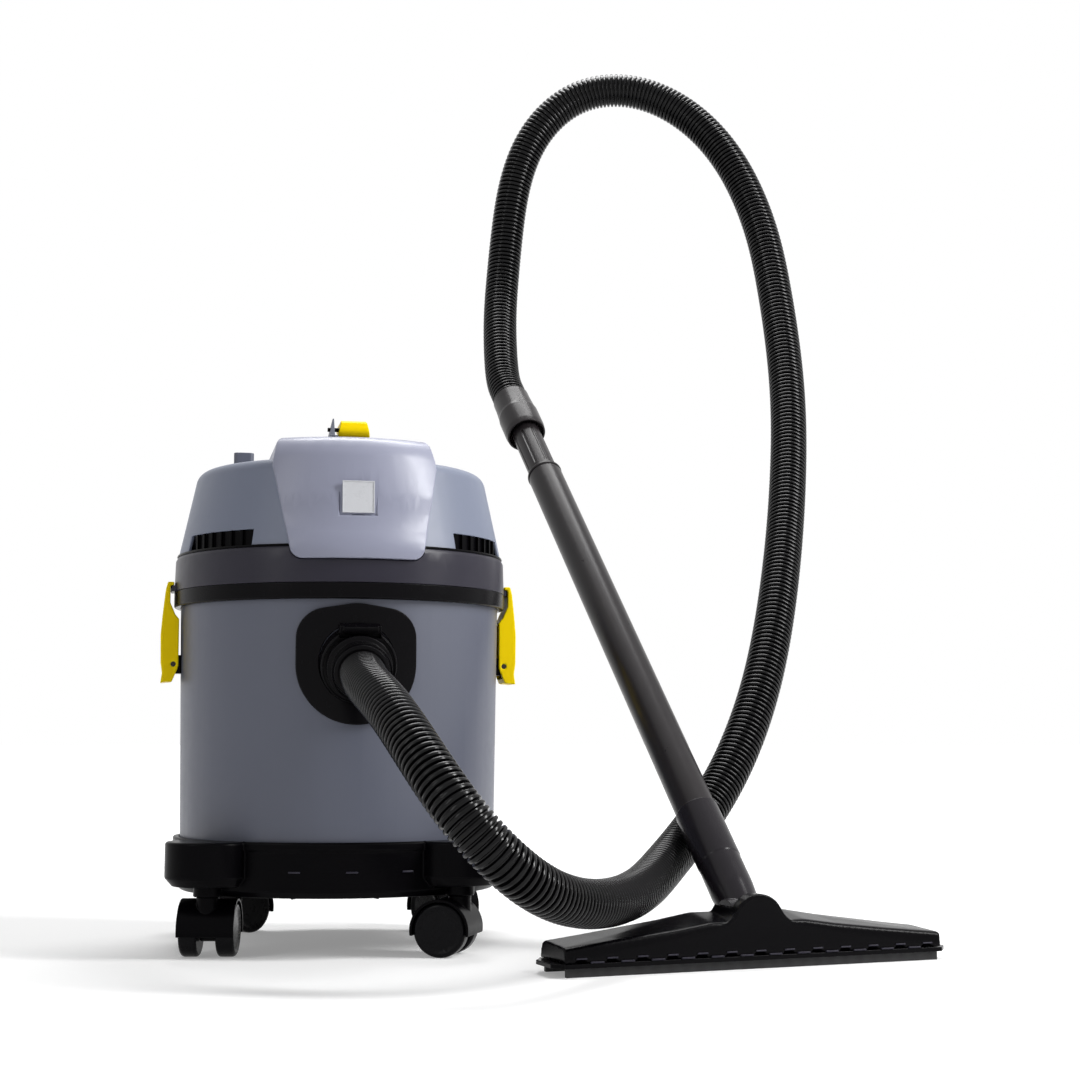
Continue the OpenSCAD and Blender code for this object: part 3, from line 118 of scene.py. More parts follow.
class Canvas:
    """The node tree of a material or of the world, under construction."""

    def __init__(self, owner: Union[bpy.types.Material, bpy.types.World]) -> None:
        """Empties the owner's node tree.

        Args:
            owner: what the nodes belong to.
        """
        owner.use_nodes = True
        self.owner = owner
        self.tree = owner.node_tree
        self.tree.nodes.clear()

    @classmethod
    def material(cls, name: str) -> "Canvas":
        """A canvas on a new material."""
        return cls(bpy.data.materials.new(name))

    def add(self, kind: str, settings: dict, inputs: dict,
            output: Union[int, str] = 0) -> Union["Value", None]:
        """Adds any node.

        Args:
            kind: the node's type.
            settings: properties, set first.
            inputs: values or links by socket name or number.
            output: which output to return.

        Returns:
            The chosen output, if the node has any.
        """
        node = self.tree.nodes.new(kind)
        for key, value in settings.items():
            setattr(node, key, value)
        for key, value in inputs.items():
            if isinstance(value, Value):
                self.tree.links.new(value.socket, node.inputs[key])
            else:
                node.inputs[key].default_value = value
        return Value(self, node.outputs[output]) if node.outputs else None

    def place(self, scale: Sequence[float] = (1, 1, 1), turn: float = 0.0) -> Value:
        """Object coordinates in metres, turned by degrees round Z and stretched by a scale."""
        where = self.add("ShaderNodeTexCoord", {}, {}, "Object")
        rotation = (0, 0, math.radians(turn))
        turned = self.add("ShaderNodeMapping", {}, {"Vector": where, "Rotation": rotation})
        return self.add("ShaderNodeMapping", {}, {"Vector": turned, "Scale": tuple(scale)})

    def noise(self, where: Value, size: float, detail: float = 2, rough: float = 0.5) -> Value:
        """Noise whose blots are about size metres across."""
        inputs = {"Vector": where, "Scale": 1 / size, "Detail": detail, "Roughness": rough}
        return self.add("ShaderNodeTexNoise", {}, inputs)

    def blend(self, amount: Number, below: Union[Colour, Value], above: Colour) -> Value:
        """Mixes a colour, or what is painted already, with another colour by an amount."""
        base = below if isinstance(below, Value) else (*below, 1)
        inputs = {MIX_AMOUNT: amount, MIX_A: base, MIX_B: (*above, 1)}
        return self.add("ShaderNodeMix", {"data_type": "RGBA"}, inputs, MIX_RESULT)

    def bands(self, direction: str, where: Value, pitch: float, waver: float = 0.0) -> Value:
        """Waves across an axis, pitch metres apart."""
        inputs = {"Vector": where, "Scale": BAND / pitch, "Distortion": waver}
        return self.add("ShaderNodeTexWave", {"bands_direction": direction}, inputs, "Fac")

    def wear(self, where: Value, size: float = 0.006, gain: float = 1.6) -> Value:
        """Patchy rubbing on the rounded edges, from 0 to 1."""
        edges = self.add("ShaderNodeAttribute", {"attribute_name": WEAR}, {}, "Fac")
        patches = self.noise(where, size, detail=4, rough=0.7)
        return edges * (patches ** 2) * gain

    def backdrop_rays(self) -> Value:
        """One for rays that show the background: camera, glossy and transmission rays."""
        kinds = ("Camera", "Glossy", "Transmission")
        paths = [self.add("ShaderNodeLightPath", {}, {}, f"Is {kind} Ray") for kind in kinds]
        return self.add("ShaderNodeClamp", {}, {"Value": paths[0] + paths[1] + paths[2]})

    def bump(self, height: Value, distance: float) -> Value:
        """Surface relief in metres."""
        return self.add("ShaderNodeBump", {}, {"Height": height, "Distance": distance, "Strength": 1})

    def finish(self, inputs: dict) -> bpy.types.Material:
        """Ends the material with one Principled shader.

        Args:
            inputs: the shader's sockets.

        Returns:
            The finished material.
        """
        surface = self.add("ShaderNodeBsdfPrincipled", {}, inputs)
        self.add("ShaderNodeOutputMaterial", {}, {"Surface": surface})
        return self.owner


def ramp(value: float, low: float, high: float) -> float:
    """How far a value has gone from low to high, from 0 to 1."""
    return min(1.0, max(0.0, (value - low) / (high - low)))


def shade(colour: Colour, factor: float) -> Colour:
    """A colour made lighter or darker."""
    return tuple(min(1.0, c * factor) for c in colour)


@dataclass(frozen=True)
class MouldedPlastic:
    """Injection-moulded plastic with a fine spark-eroded grain and slight uneven sheen."""

    name: str
    colour: Colour
    roughness: float = 0.45
    grain: float = 0.0006
    depth: float = 0.00002
    mottling: float = 0.05
    coat: float = 0.0
    rub: float = 0.012
    specular: float = 0.5
    blot: float = 0.09
    scuff: float = 0.012
    scuff_relief: float = 0.4
    uneven: float = 0.14
    rub_share: float = 0.7
    rub_lift: float = 1.25
    rub_dulling: float = 0.12
    coat_roughness: float = 0.15

    def material(self) -> bpy.types.Material:
        """Builds the material."""
        c = Canvas.material(self.name)
        where = c.place()
        broad = c.noise(where, self.blot, detail=3)
        scuffs = c.noise(where, self.scuff, detail=6, rough=0.7)
        grain = c.noise(where, self.grain)
        rubbed = c.wear(where)
        dark, light = (shade(self.colour, 1 + change) for change in (-self.mottling, self.mottling))
        pale = tuple(min(1.0, channel * self.rub_lift + self.rub) for channel in self.colour)
        sheen = self.roughness - self.uneven / 2 + scuffs * self.uneven
        return c.finish({
            "Base Color": c.blend(rubbed * self.rub_share, c.blend(broad, dark, light), pale),
            "Roughness": sheen + rubbed * self.rub_dulling,
            "Normal": c.bump(grain + scuffs * self.scuff_relief, self.depth),
            "Coat Weight": self.coat,
            "Coat Roughness": self.coat_roughness,
            "Specular IOR Level": self.specular,
        })


@dataclass(frozen=True)
class TurnedMetal:
    """Plated steel or pressed sheet with fine drawn streaks."""

    name: str
    colour: Colour
    roughness: float = 0.3
    streak: Sequence[float] = (1, 1, 12)
    fineness: float = 0.003
    stain: float = 0.03
    stain_shade: float = 0.86
    uneven: float = 0.15
    depth: float = 0.00001

    def material(self) -> bpy.types.Material:
        """Builds the material."""
        c = Canvas.material(self.name)
        streaks = c.noise(c.place(self.streak), self.fineness, detail=4, rough=0.6)
        stains = c.noise(c.place(), self.stain, detail=3)
        return c.finish({
            "Base Color": c.blend(stains, shade(self.colour, self.stain_shade), self.colour),
            "Metallic": 1.0,
            "Roughness": self.roughness + streaks * self.uneven,
            "Normal": c.bump(streaks, self.depth),
        })


@dataclass(frozen=True)
class Windings:
    """Rows of enamelled wire laid round the axis, with painted shade in the gaps between them."""

    name: str
    colour: Colour
    pitch: float = 0.0012
    waver: float = 0.4
    painted_gap_shade: float = 0.45
    metal: float = 0.8
    roughness: float = 0.42
    polish: float = 0.12
    depth: float = 0.0003

    def material(self) -> bpy.types.Material:
        """Builds the material."""
        c = Canvas.material(self.name)
        wires = c.bands("Z", c.place(), self.pitch, self.waver)
        return c.finish({
            # painted shade: the base colour darkens in the gaps between the wires
            "Base Color": c.blend(wires, shade(self.colour, self.painted_gap_shade), self.colour),
            "Metallic": self.metal,
            "Roughness": self.roughness - wires * self.polish,
            "Normal": c.bump(wires, self.depth),
        })


@dataclass(frozen=True)
class Fibre:
    """Filter paper with loose fibres."""

    name: str
    colour: Colour
    stretch: Sequence[float] = (1, 1, 4)
    fineness: float = 0.0015
    shadow: float = 0.8
    roughness: float = 0.9
    depth: float = 0.00025

    def material(self) -> bpy.types.Material:
        """Builds the material."""
        c = Canvas.material(self.name)
        fibres = c.noise(c.place(self.stretch), self.fineness, detail=5, rough=0.75)
        return c.finish({
            "Base Color": c.blend(fibres, shade(self.colour, self.shadow), self.colour),
            "Roughness": self.roughness,
            "Normal": c.bump(fibres, self.depth),
        })


@dataclass(frozen=True)
class Rubber:
    """Matt rubber with a bloom of dust."""

    name: str
    colour: Colour
    dust: float = 0.02
    dust_shade: float = 2.2
    roughness: float = 0.62
    uneven: float = 0.22
    grain: float = 0.0009
    depth: float = 0.00005

    def material(self) -> bpy.types.Material:
        """Builds the material."""
        c = Canvas.material(self.name)
        bloom = c.noise(c.place(), self.dust, detail=6, rough=0.7)
        return c.finish({
            "Base Color": c.blend(bloom ** 2, self.colour, shade(self.colour, self.dust_shade)),
            "Roughness": self.roughness + bloom * self.uneven,
            "Normal": c.bump(c.noise(c.place(), self.grain, detail=3), self.depth),
        })


@dataclass(frozen=True)
class Bristle:
    """A strip of close bristles standing in tufts along the floor tool, with painted shade between hairs
    and between tufts.
    """

    name: str
    colour: Colour
    turn: float = -10.0
    stretch: Sequence[float] = (1, 0.02, 0.02)
    hair: float = 0.0007
    hair_share: float = 0.6
    waver: float = 1.5
    tuft: float = 0.0143
    tuft_relief: float = 2
    painted_gap_shade: float = 0.45
    roughness: float = 0.72
    polish: float = 0.12
    depth: float = 0.0003

    def material(self) -> bpy.types.Material:
        """Builds the material."""
        c = Canvas.material(self.name)
        along = c.place(self.stretch, self.turn)
        hairs = c.bands("X", along, self.hair, self.waver)
        tufts = c.bands("X", along, self.tuft)
        both = hairs * self.hair_share + tufts * (1 - self.hair_share)
        return c.finish({
            # painted shade: the base colour darkens between the hairs and between the tufts
            "Base Color": c.blend(both, shade(self.colour, self.painted_gap_shade), self.colour),
            "Roughness": self.roughness - hairs * self.polish,
            "Normal": c.bump(hairs + tufts * self.tuft_relief, self.depth),
        })


class Slot(Enum):
    """The record's material slots."""

    GREY = "grey_plastic"
    LIGHT_GREY = "light_grey_plastic"
    BADGE = "badge_plate"
    BLACK = "black_plastic"
    WAND = "wand_black"
    YELLOW = "yellow_plastic"
    SCREW = "screw_steel"
    MOTOR = "motor_metal"
    CORE = "motor_core"
    COPPER = "winding_copper"
    SEAL = "seal_rubber"
    FLOAT = "float_plastic"
    PAPER = "filter_paper"
    WHEEL = "wheel_plastic"
    HOSE = "hose_plastic"


FINISHES = {
    Slot.GREY: MouldedPlastic("grey_moulding", (0.090, 0.098, 0.134), 0.42, mottling=0.04),
    Slot.LIGHT_GREY: MouldedPlastic("light_grey_moulding", (0.268, 0.279, 0.368), 0.36, mottling=0.03),
    Slot.BADGE: MouldedPlastic("plain_plate", (0.62, 0.63, 0.66), 0.28, grain=0.002, coat=0.4),
    Slot.BLACK: MouldedPlastic("black_moulding", (0.0014, 0.0012, 0.0018), 0.30, grain=0.0008,
                               depth=0.000006, mottling=0.10, rub=0.004, specular=0.035),
    Slot.WAND: MouldedPlastic("wand_black", (0.0150, 0.0126, 0.0138), 0.30, grain=0.0012, depth=0.00001,
                              mottling=0.08, rub=0.010, specular=0.20),
    Slot.YELLOW: MouldedPlastic("yellow_moulding", (1.0, 0.71, 0.0), 0.40, mottling=0.02, rub=0.0,
                                specular=0.10),
    Slot.SCREW: TurnedMetal("plated_steel", (0.58, 0.58, 0.60)),
    Slot.MOTOR: TurnedMetal("pressed_sheet", (0.66, 0.67, 0.69), 0.26, (6, 6, 1)),
    Slot.CORE: TurnedMetal("laminated_core", (0.20, 0.20, 0.22), 0.45, (1, 1, 60)),
    Slot.COPPER: Windings("copper_windings", (0.62, 0.26, 0.10)),
    Slot.SEAL: Rubber("seal_rubber", (0.012, 0.012, 0.013)),
    Slot.FLOAT: MouldedPlastic("float_moulding", (0.72, 0.72, 0.68), 0.5),
    Slot.PAPER: Fibre("pleated_paper", (0.74, 0.70, 0.60)),
    Slot.WHEEL: MouldedPlastic("wheel_black", (0.0036, 0.0034, 0.0044), 0.28, depth=0.000005,
                               mottling=0.15, rub=0.006, specular=0.08),
    Slot.HOSE: MouldedPlastic("hose_black", (0.0012, 0.0011, 0.0015), 0.20, grain=0.0015, depth=0.00001,
                              rub=0.003, specular=0.17),
}
COVER_GREY = MouldedPlastic("cover_moulding", (0.164, 0.186, 0.255), 0.44, mottling=0.03)
RING_BLACK = MouldedPlastic("ring_moulding", (0.0220, 0.0202, 0.0315), 0.34, grain=0.0008, depth=0.000008,
                            mottling=0.08, rub=0.008, specular=0.20)
PLATE_BLACK = MouldedPlastic("shield_moulding", (0.0018, 0.0015, 0.0022), 0.26, grain=0.0008,
                             depth=0.000005, mottling=0.08, rub=0.006, specular=0.065)
TOOL_BLACK = MouldedPlastic("tool_moulding", (0.0012, 0.0010, 0.0016), 0.22, grain=0.0008, depth=0.000003,
                            mottling=0.08, rub=0.004, specular=0.06)
NECK_BLACK = MouldedPlastic("neck_moulding", (0.0115, 0.0095, 0.0125), 0.24, grain=0.0009, depth=0.000004,
                            mottling=0.08, rub=0.006, specular=0.18)
RIVET_DARK = MouldedPlastic("rivet_dark", (0.020, 0.016, 0.010), 0.40, mottling=0.10, specular=0.25)
BRISTLES = Bristle("bristle_strip", (0.034, 0.034, 0.036))
Finish = Union[MouldedPlastic, TurnedMetal, Windings, Fibre, Rubber, Bristle]


@functools.cache
def made_once(finish: Finish) -> bpy.types.Material:
    """The material of a finish, which is made at its first use."""
    return finish.material()


# ---- the frame's facts and the layout ----


def body_of_node(node: str) -> str:
    """The body that carries a CAD node."""
    bodies = frame["record"]["behaviour"]["bodies"]
    return next(body for body, nodes in bodies.items() if node in nodes)


def slot_of_node(node: str) -> Slot:
    """The slot from which a CAD node takes its finish."""
    rows = frame["record"]["subparts"]
    return Slot(next(row["material_slot"] for row in rows if row["node"] == node))


@dataclass(frozen=True)
class Layout:
    """Where the hose port and the wand's hinge are and how they are turned, in millimetres and degrees."""

    port: Sequence[float] = (0.0, -156.975, 272.0)
    port_tilt: float = 15.0
    hinge: Sequence[float] = (340.0, -255.0, 40.0)
    turn: float = 10.0
    lean: float = 46.0

    def port_place(self) -> Matrix:
        """From the port's own frame, whose Z points out along the hose, to the row frame."""
        tilt = math.radians(self.port_tilt)
        out = Vector((0, -math.cos(tilt), -math.sin(tilt)))
        return Matrix.Translation(Vector(self.port) * MM) @ out.to_track_quat("Z", "Y").to_matrix().to_4x4()

    def wand_place(self) -> Matrix:
        """From the wand's own frame, whose Z runs up the wand, to the row frame."""
        turned = Matrix.Rotation(math.radians(self.turn), 4, "Z")
        leaned = turned @ Matrix.Rotation(math.radians(-self.lean), 4, "X")
        return Matrix.Translation(Vector(self.hinge) * MM) @ leaned

    def tool_place(self) -> Matrix:
        """From the floor tool's own frame, which lies on the floor, to the row frame."""
        x, y, _ = self.hinge
        return Matrix.Translation((x * MM, y * MM, 0)) @ Matrix.Rotation(math.radians(self.turn), 4, "Z")


LAYOUT = Layout()


# ---- solid shapes ----


@dataclass(frozen=True)
class Taper:
    """How a piece's width changes with its height, in millimetres and as shares of its width."""

    pivot: float
    low: float
    high: float
    foot: float
    crown: float


@dataclass(frozen=True)
class Skin:
    """The even grid of a soft-edged moulding: its spacing in millimetres, how often it is relaxed."""

    grain: float
    rounds: int


@dataclass(frozen=True)
class Ledge:
    """A short bar on a face that looks to -Y, in millimetres: proud is outside the face, sunk within."""

    length: float
    proud: float
    sunk: float
    thickness: float
    rounding: float = 0.3


class Shape:
    """A bmesh under construction, in the row frame."""

    def __init__(self) -> None:
        """Starts an empty mesh."""
        self.bm = bmesh.new()

    @classmethod
    def of_node(cls, node: str) -> "Shape":
        """A merged copy of a CAD node with its flat faces joined.

        Args:
            node: the CAD node.

        Returns:
            The copy.
        """
        shape = cls()
        shape.bm.from_mesh(frame["nodes"][node].data)
        bmesh.ops.remove_doubles(shape.bm, verts=shape.bm.verts, dist=MERGE * MM)
        bmesh.ops.dissolve_limit(shape.bm, angle_limit=math.radians(FLAT), verts=shape.bm.verts,
                                 edges=shape.bm.edges)
        return shape

    @classmethod
    def spun(cls, profile: Profile, steps: int, sweep: float = 360, start: float = 0) -> "Shape":
        """Turns a closed profile of (radius, height) pairs round the Z axis.

        Args:
            profile: corners in millimetres, in order.
            steps: facets round the axis.
            sweep: how far it turns, in degrees.
            start: where it starts, in degrees from X.

        Returns:
            The turned shape.
        """
        shape = cls()
        corners = [shape.bm.verts.new((r * MM, 0, z * MM)) for r, z in profile]
        ring = [shape.bm.edges.new(pair) for pair in zip(corners, corners[1:] + corners[:1])]
        turned = Matrix.Rotation(math.radians(start), 3, "Z")
        bmesh.ops.rotate(shape.bm, verts=corners, cent=(0, 0, 0), matrix=turned)
        bmesh.ops.spin(shape.bm, geom=corners + ring, cent=(0, 0, 0), axis=(0, 0, 1),
                       angle=math.radians(sweep), steps=steps, use_merge=sweep == 360,
                       use_normal_flip=False)
        bmesh.ops.remove_doubles(shape.bm, verts=shape.bm.verts, dist=SPUN_MERGE * MM)
        bmesh.ops.holes_fill(shape.bm, edges=[e for e in shape.bm.edges if len(e.link_faces) == 1])
        bmesh.ops.recalc_face_normals(shape.bm, faces=shape.bm.faces)
        return shape

    @classmethod
    def bar(cls, ledge: Ledge, middle: float, face: float, low: float) -> "Shape":
        """A rounded bar.

        Args:
            ledge: its sizes.
            middle: X of its middle in millimetres.
            face: Y of the face that it stands on.
            low: height of its underside.

        Returns:
            The bar.
        """
        shape = cls()
        a = Vector((middle - ledge.length / 2, face - ledge.proud, low)) * MM
        b = Vector((middle + ledge.length / 2, face + ledge.sunk, low + ledge.thickness)) * MM
        place = Matrix.Translation((a + b) / 2) @ Matrix.Diagonal((*(b - a), 1))
        bmesh.ops.create_cube(shape.bm, size=1, matrix=place)
        return shape.softened(ledge.rounding)

    def relaxed(self, skin: Skin) -> "Shape":
        """Rebuilds the skin as an even grid and relaxes it, which softens every edge.

        Args:
            skin: the grid's spacing and how often it is relaxed.

        Returns:
            This shape.
        """
        raw = bpy.data.meshes.new("raw")
        self.bm.to_mesh(raw)
        self.bm.free()
        holder = bpy.data.objects.new("raw", raw)
        bpy.context.scene.collection.objects.link(holder)
        even = holder.modifiers.new("even_skin", "REMESH")
        even.mode = "VOXEL"
        even.voxel_size = skin.grain * MM
        result = holder.evaluated_get(bpy.context.evaluated_depsgraph_get())
        grid = bpy.data.meshes.new_from_object(result)
        self.bm = bmesh.new()
        self.bm.from_mesh(grid)
        bpy.data.objects.remove(holder)
        for mesh in (raw, grid):
            bpy.data.meshes.remove(mesh)
        for _ in range(skin.rounds):
            bmesh.ops.smooth_vert(self.bm, verts=self.bm.verts, factor=0.5, use_axis_x=True,
                                  use_axis_y=True, use_axis_z=True)
        marks = self.bm.verts.layers.float.new(WEAR)
        for vert in self.bm.verts:
            bend = sum(edge.calc_face_angle_signed(0.0) for edge in vert.link_edges) / len(vert.link_edges)
            vert[marks] = min(1.0, max(0.0, bend * BEND_GAIN))
        return self

    def tapered(self, taper: Taper) -> "Shape":
        """Scales the width about the taper's pivot, from its foot up to its crown.

        Args:
            taper: the pivot in X, the heights and the two shares.

        Returns:
            This shape.
        """
        pivot = taper.pivot * MM
        for vert in self.bm.verts:
            up = ramp(vert.co.z / MM, taper.low, taper.high)
            vert.co.x = pivot + (vert.co.x - pivot) * (taper.foot + (taper.crown - taper.foot) * up)
        return self

    def moved(self, place: Matrix) -> "Shape":
        """The same shape put somewhere else."""
        bmesh.ops.transform(self.bm, matrix=place, verts=self.bm.verts)
        return self

    def joined(self, other: "Shape") -> "Shape":
        """This shape with another one's mesh added."""
        mesh = bpy.data.meshes.new("part")
        other.bm.to_mesh(mesh)
        other.bm.free()
        self.bm.from_mesh(mesh)
        bpy.data.meshes.remove(mesh)
        return self

    def softened(self, width: float, segments: int = 2, angle: float = 32) -> "Shape":
        """Rounds the edges that turn by more than an angle.

        Args:
            width: the rounding, in millimetres.
            segments: facets across it.
            angle: least turn in degrees.

        Returns:
            This shape.
        """
        marks = self.bm.faces.layers.float.get(WEAR) or self.bm.faces.layers.float.new(WEAR)
        limit = math.radians(angle)
        edges = [e for e in self.bm.edges if len(e.link_faces) == 2 and e.calc_face_angle() > limit]
        rounded = bmesh.ops.bevel(self.bm, geom=edges, offset=width * MM, segments=segments, profile=0.5,
                                  affect="EDGES", clamp_overlap=False, material=-1)
        for face in rounded["faces"]:
            face[marks] = 1.0
        return self

    def piece(self, name: str, slot: Slot, body: str, nodes: Sequence[str] = (), angle: float = 50,
              finish: Union[Finish, None] = None) -> bpy.types.Object:
        """Makes the object, dresses it and lets it ride.

        Args:
            name: the piece's name.
            slot: the record's slot.
            body: the body that it rides on.
            nodes: the CAD nodes that it stands for.
            angle: edges sharper than this stay sharp, in degrees.
            finish: another finish than the slot's own.

        Returns:
            The object.
        """
        mesh = bpy.data.meshes.new(name)
        self.bm.to_mesh(mesh)
        self.bm.free()
        if "custom_normal" in mesh.attributes:
            mesh.attributes.remove(mesh.attributes["custom_normal"])
        mesh.shade_smooth()
        mesh.set_sharp_from_angle(angle=math.radians(angle))
        mesh.materials.append(made_once(finish or FINISHES[slot]))
        made = bpy.data.objects.new(name, mesh)
        bpy.context.scene.collection.objects.link(made)
        even = made.modifiers.new("even_shading", "WEIGHTED_NORMAL")
        even.keep_sharp = True
        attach(made, body)
        if nodes:
            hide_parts(*nodes)
        LOG.info("%s: %d faces on %s", name, len(mesh.polygons), body)
        return made


def refined(node: str, name: str, width: float, segments: int = 2, angle: float = 50,
            finish: Union[Finish, None] = None, taper: Union[Taper, None] = None) -> bpy.types.Object:
    """A CAD node's own form with its edges rounded and its skin smooth.

    Args:
        node: the CAD node.
        name: the piece's name.
        width: rounding of the edges in millimetres.
        segments: facets across the rounding.
        angle: edges sharper than this stay sharp, in degrees.
        finish: another finish than the node's own.
        taper: how its width changes with its height.

    Returns:
        The piece.
    """
    shape = Shape.of_node(node)
    if taper:
        shape.tapered(taper)
    shape.softened(width, segments)
    return shape.piece(name, slot_of_node(node), body_of_node(node), [node], angle, finish)


def moulded(node: str, name: str, skin: Skin, taper: Union[Taper, None] = None) -> bpy.types.Object:
    """A CAD node's own form with the soft edges of a moulding.

    Args:
        node: the CAD node.
        name: the piece's name.
        skin: the grid of its skin.
        taper: how its width changes with its height.

    Returns:
        The piece.
    """
    shape = Shape.of_node(node)
    if taper:
        shape.tapered(taper)
    shape.relaxed(skin)
    return shape.piece(name, slot_of_node(node), body_of_node(node), [node], SMOOTH)


def keep_node(node: str, finish: Union[Finish, None] = None) -> None:
    """Leaves a CAD node in place and gives it its procedural finish."""
    for holder in frame["nodes"][node].material_slots:
        holder.material = made_once(finish or FINISHES[slot_of_node(node)])


def gathered(shapes: Sequence[Shape]) -> Shape:
    """Several shapes as one."""
    first = shapes[0]
    for other in shapes[1:]:
        first.joined(other)
    return first


# ---- camera, floor and light ----


@dataclass(frozen=True)
class Softbox:
    """A rectangular lamp: where it hangs, what it points at, its sides in metres and its watts."""

    name: str
    place: Sequence[float]
    target: Sequence[float]
    sides: tuple[float, float]
    power: float

    def hang(self) -> None:
        """Adds the lamp."""
        data = bpy.data.lights.new(self.name, "AREA")
        data.shape = "RECTANGLE"
        data.size, data.size_y = self.sides
        data.energy = self.power
        made = bpy.data.objects.new(self.name, data)
        made.location = self.place
        aim = Vector(self.target) - Vector(self.place)
        made.rotation_euler = aim.to_track_quat("-Z", "Y").to_euler()
        bpy.context.scene.collection.objects.link(made)


@dataclass(frozen=True)
class Studio:
    """Plain pale floor, soft lamps and the camera."""

    eye: Sequence[float] = (-0.1918, -1.9010, 0.2030)
    turn: float = -11.8
    rise: float = 5.951
    field_of_view: float = 31.895
    sensor: float = 36.0
    reach: float = 60.0
    floor_radius: float = 45.0
    floor_facets: int = 96
    floor_colour: Colour = (0.80, 0.80, 0.80)
    glow_near: float = 0.26
    glow_far: float = 1.0
    blend_from: float = 0.6
    blend_to: float = 2.4
    ambient: float = 0.19
    lamps: Sequence[Softbox] = (
        Softbox("key", (2.1, -1.1, 1.9), (0.1, 0, 0.35), (0.5, 1.7), 80),
        Softbox("fill", (-1.9, -1.6, 1.6), (0.1, 0, 0.35), (0.4, 1.6), 10),
        Softbox("top", (0.35, 0.9, 2.6), (0.2, -0.1, 0.1), (1.6, 1.0), 50),
    )

    def camera(self) -> None:
        """Places the camera."""
        data = bpy.data.cameras.new("camera")
        data.sensor_width = self.sensor
        data.angle = math.radians(self.field_of_view)
        data.clip_end = self.reach
        made = bpy.data.objects.new("camera", data)
        made.location = self.eye
        made.rotation_euler = (math.radians(90 + self.rise), 0, math.radians(self.turn))
        bpy.context.scene.collection.objects.link(made)
        bpy.context.scene.camera = made

    def floor(self) -> None:
        """Makes the floor, which looks white but still takes the shadow."""
        bm = bmesh.new()
        bmesh.ops.create_circle(bm, cap_ends=True, segments=self.floor_facets, radius=self.floor_radius)
        mesh = bpy.data.meshes.new("floor")
        bm.to_mesh(mesh)
        bm.free()
        canvas = Canvas.material("floor_paper")
        seen = canvas.backdrop_rays()
        away = canvas.add("ShaderNodeVectorMath", {"operation": "LENGTH"}, {0: canvas.place()}, "Value")
        level = canvas.add("ShaderNodeMapRange", {"interpolation_type": "SMOOTHSTEP"}, {
            "Value": away, "From Min": self.blend_from, "From Max": self.blend_to,
            "To Min": self.glow_near, "To Max": self.glow_far})
        diffuse = canvas.add("ShaderNodeBsdfDiffuse", {}, {"Color": (*self.floor_colour, 1)})
        glow = canvas.add("ShaderNodeEmission", {}, {"Color": (1, 1, 1, 1), "Strength": seen * level})
        both = canvas.add("ShaderNodeAddShader", {}, {0: diffuse, 1: glow})
        canvas.add("ShaderNodeOutputMaterial", {}, {"Surface": both})
        mesh.materials.append(canvas.owner)
        made = bpy.data.objects.new("floor", mesh)
        bpy.context.scene.collection.objects.link(made)

    def world(self) -> None:
        """White behind the machine and a soft grey fill on it."""
        bpy.context.scene.world = bpy.data.worlds.new("studio")
        canvas = Canvas(bpy.context.scene.world)
        seen = canvas.backdrop_rays()
        strength = seen * (1 - self.ambient) + self.ambient
        sky = canvas.add("ShaderNodeBackground", {}, {"Color": (1, 1, 1, 1), "Strength": strength})
        canvas.add("ShaderNodeOutputWorld", {}, {"Surface": sky})

    def build(self) -> None:
        """Makes everything that isn't the machine."""
        self.camera()
        self.floor()
        self.world()
        for lamp in self.lamps:
            lamp.hang()
        bpy.context.scene.view_settings.view_transform = "Standard"


# ---- hose ----


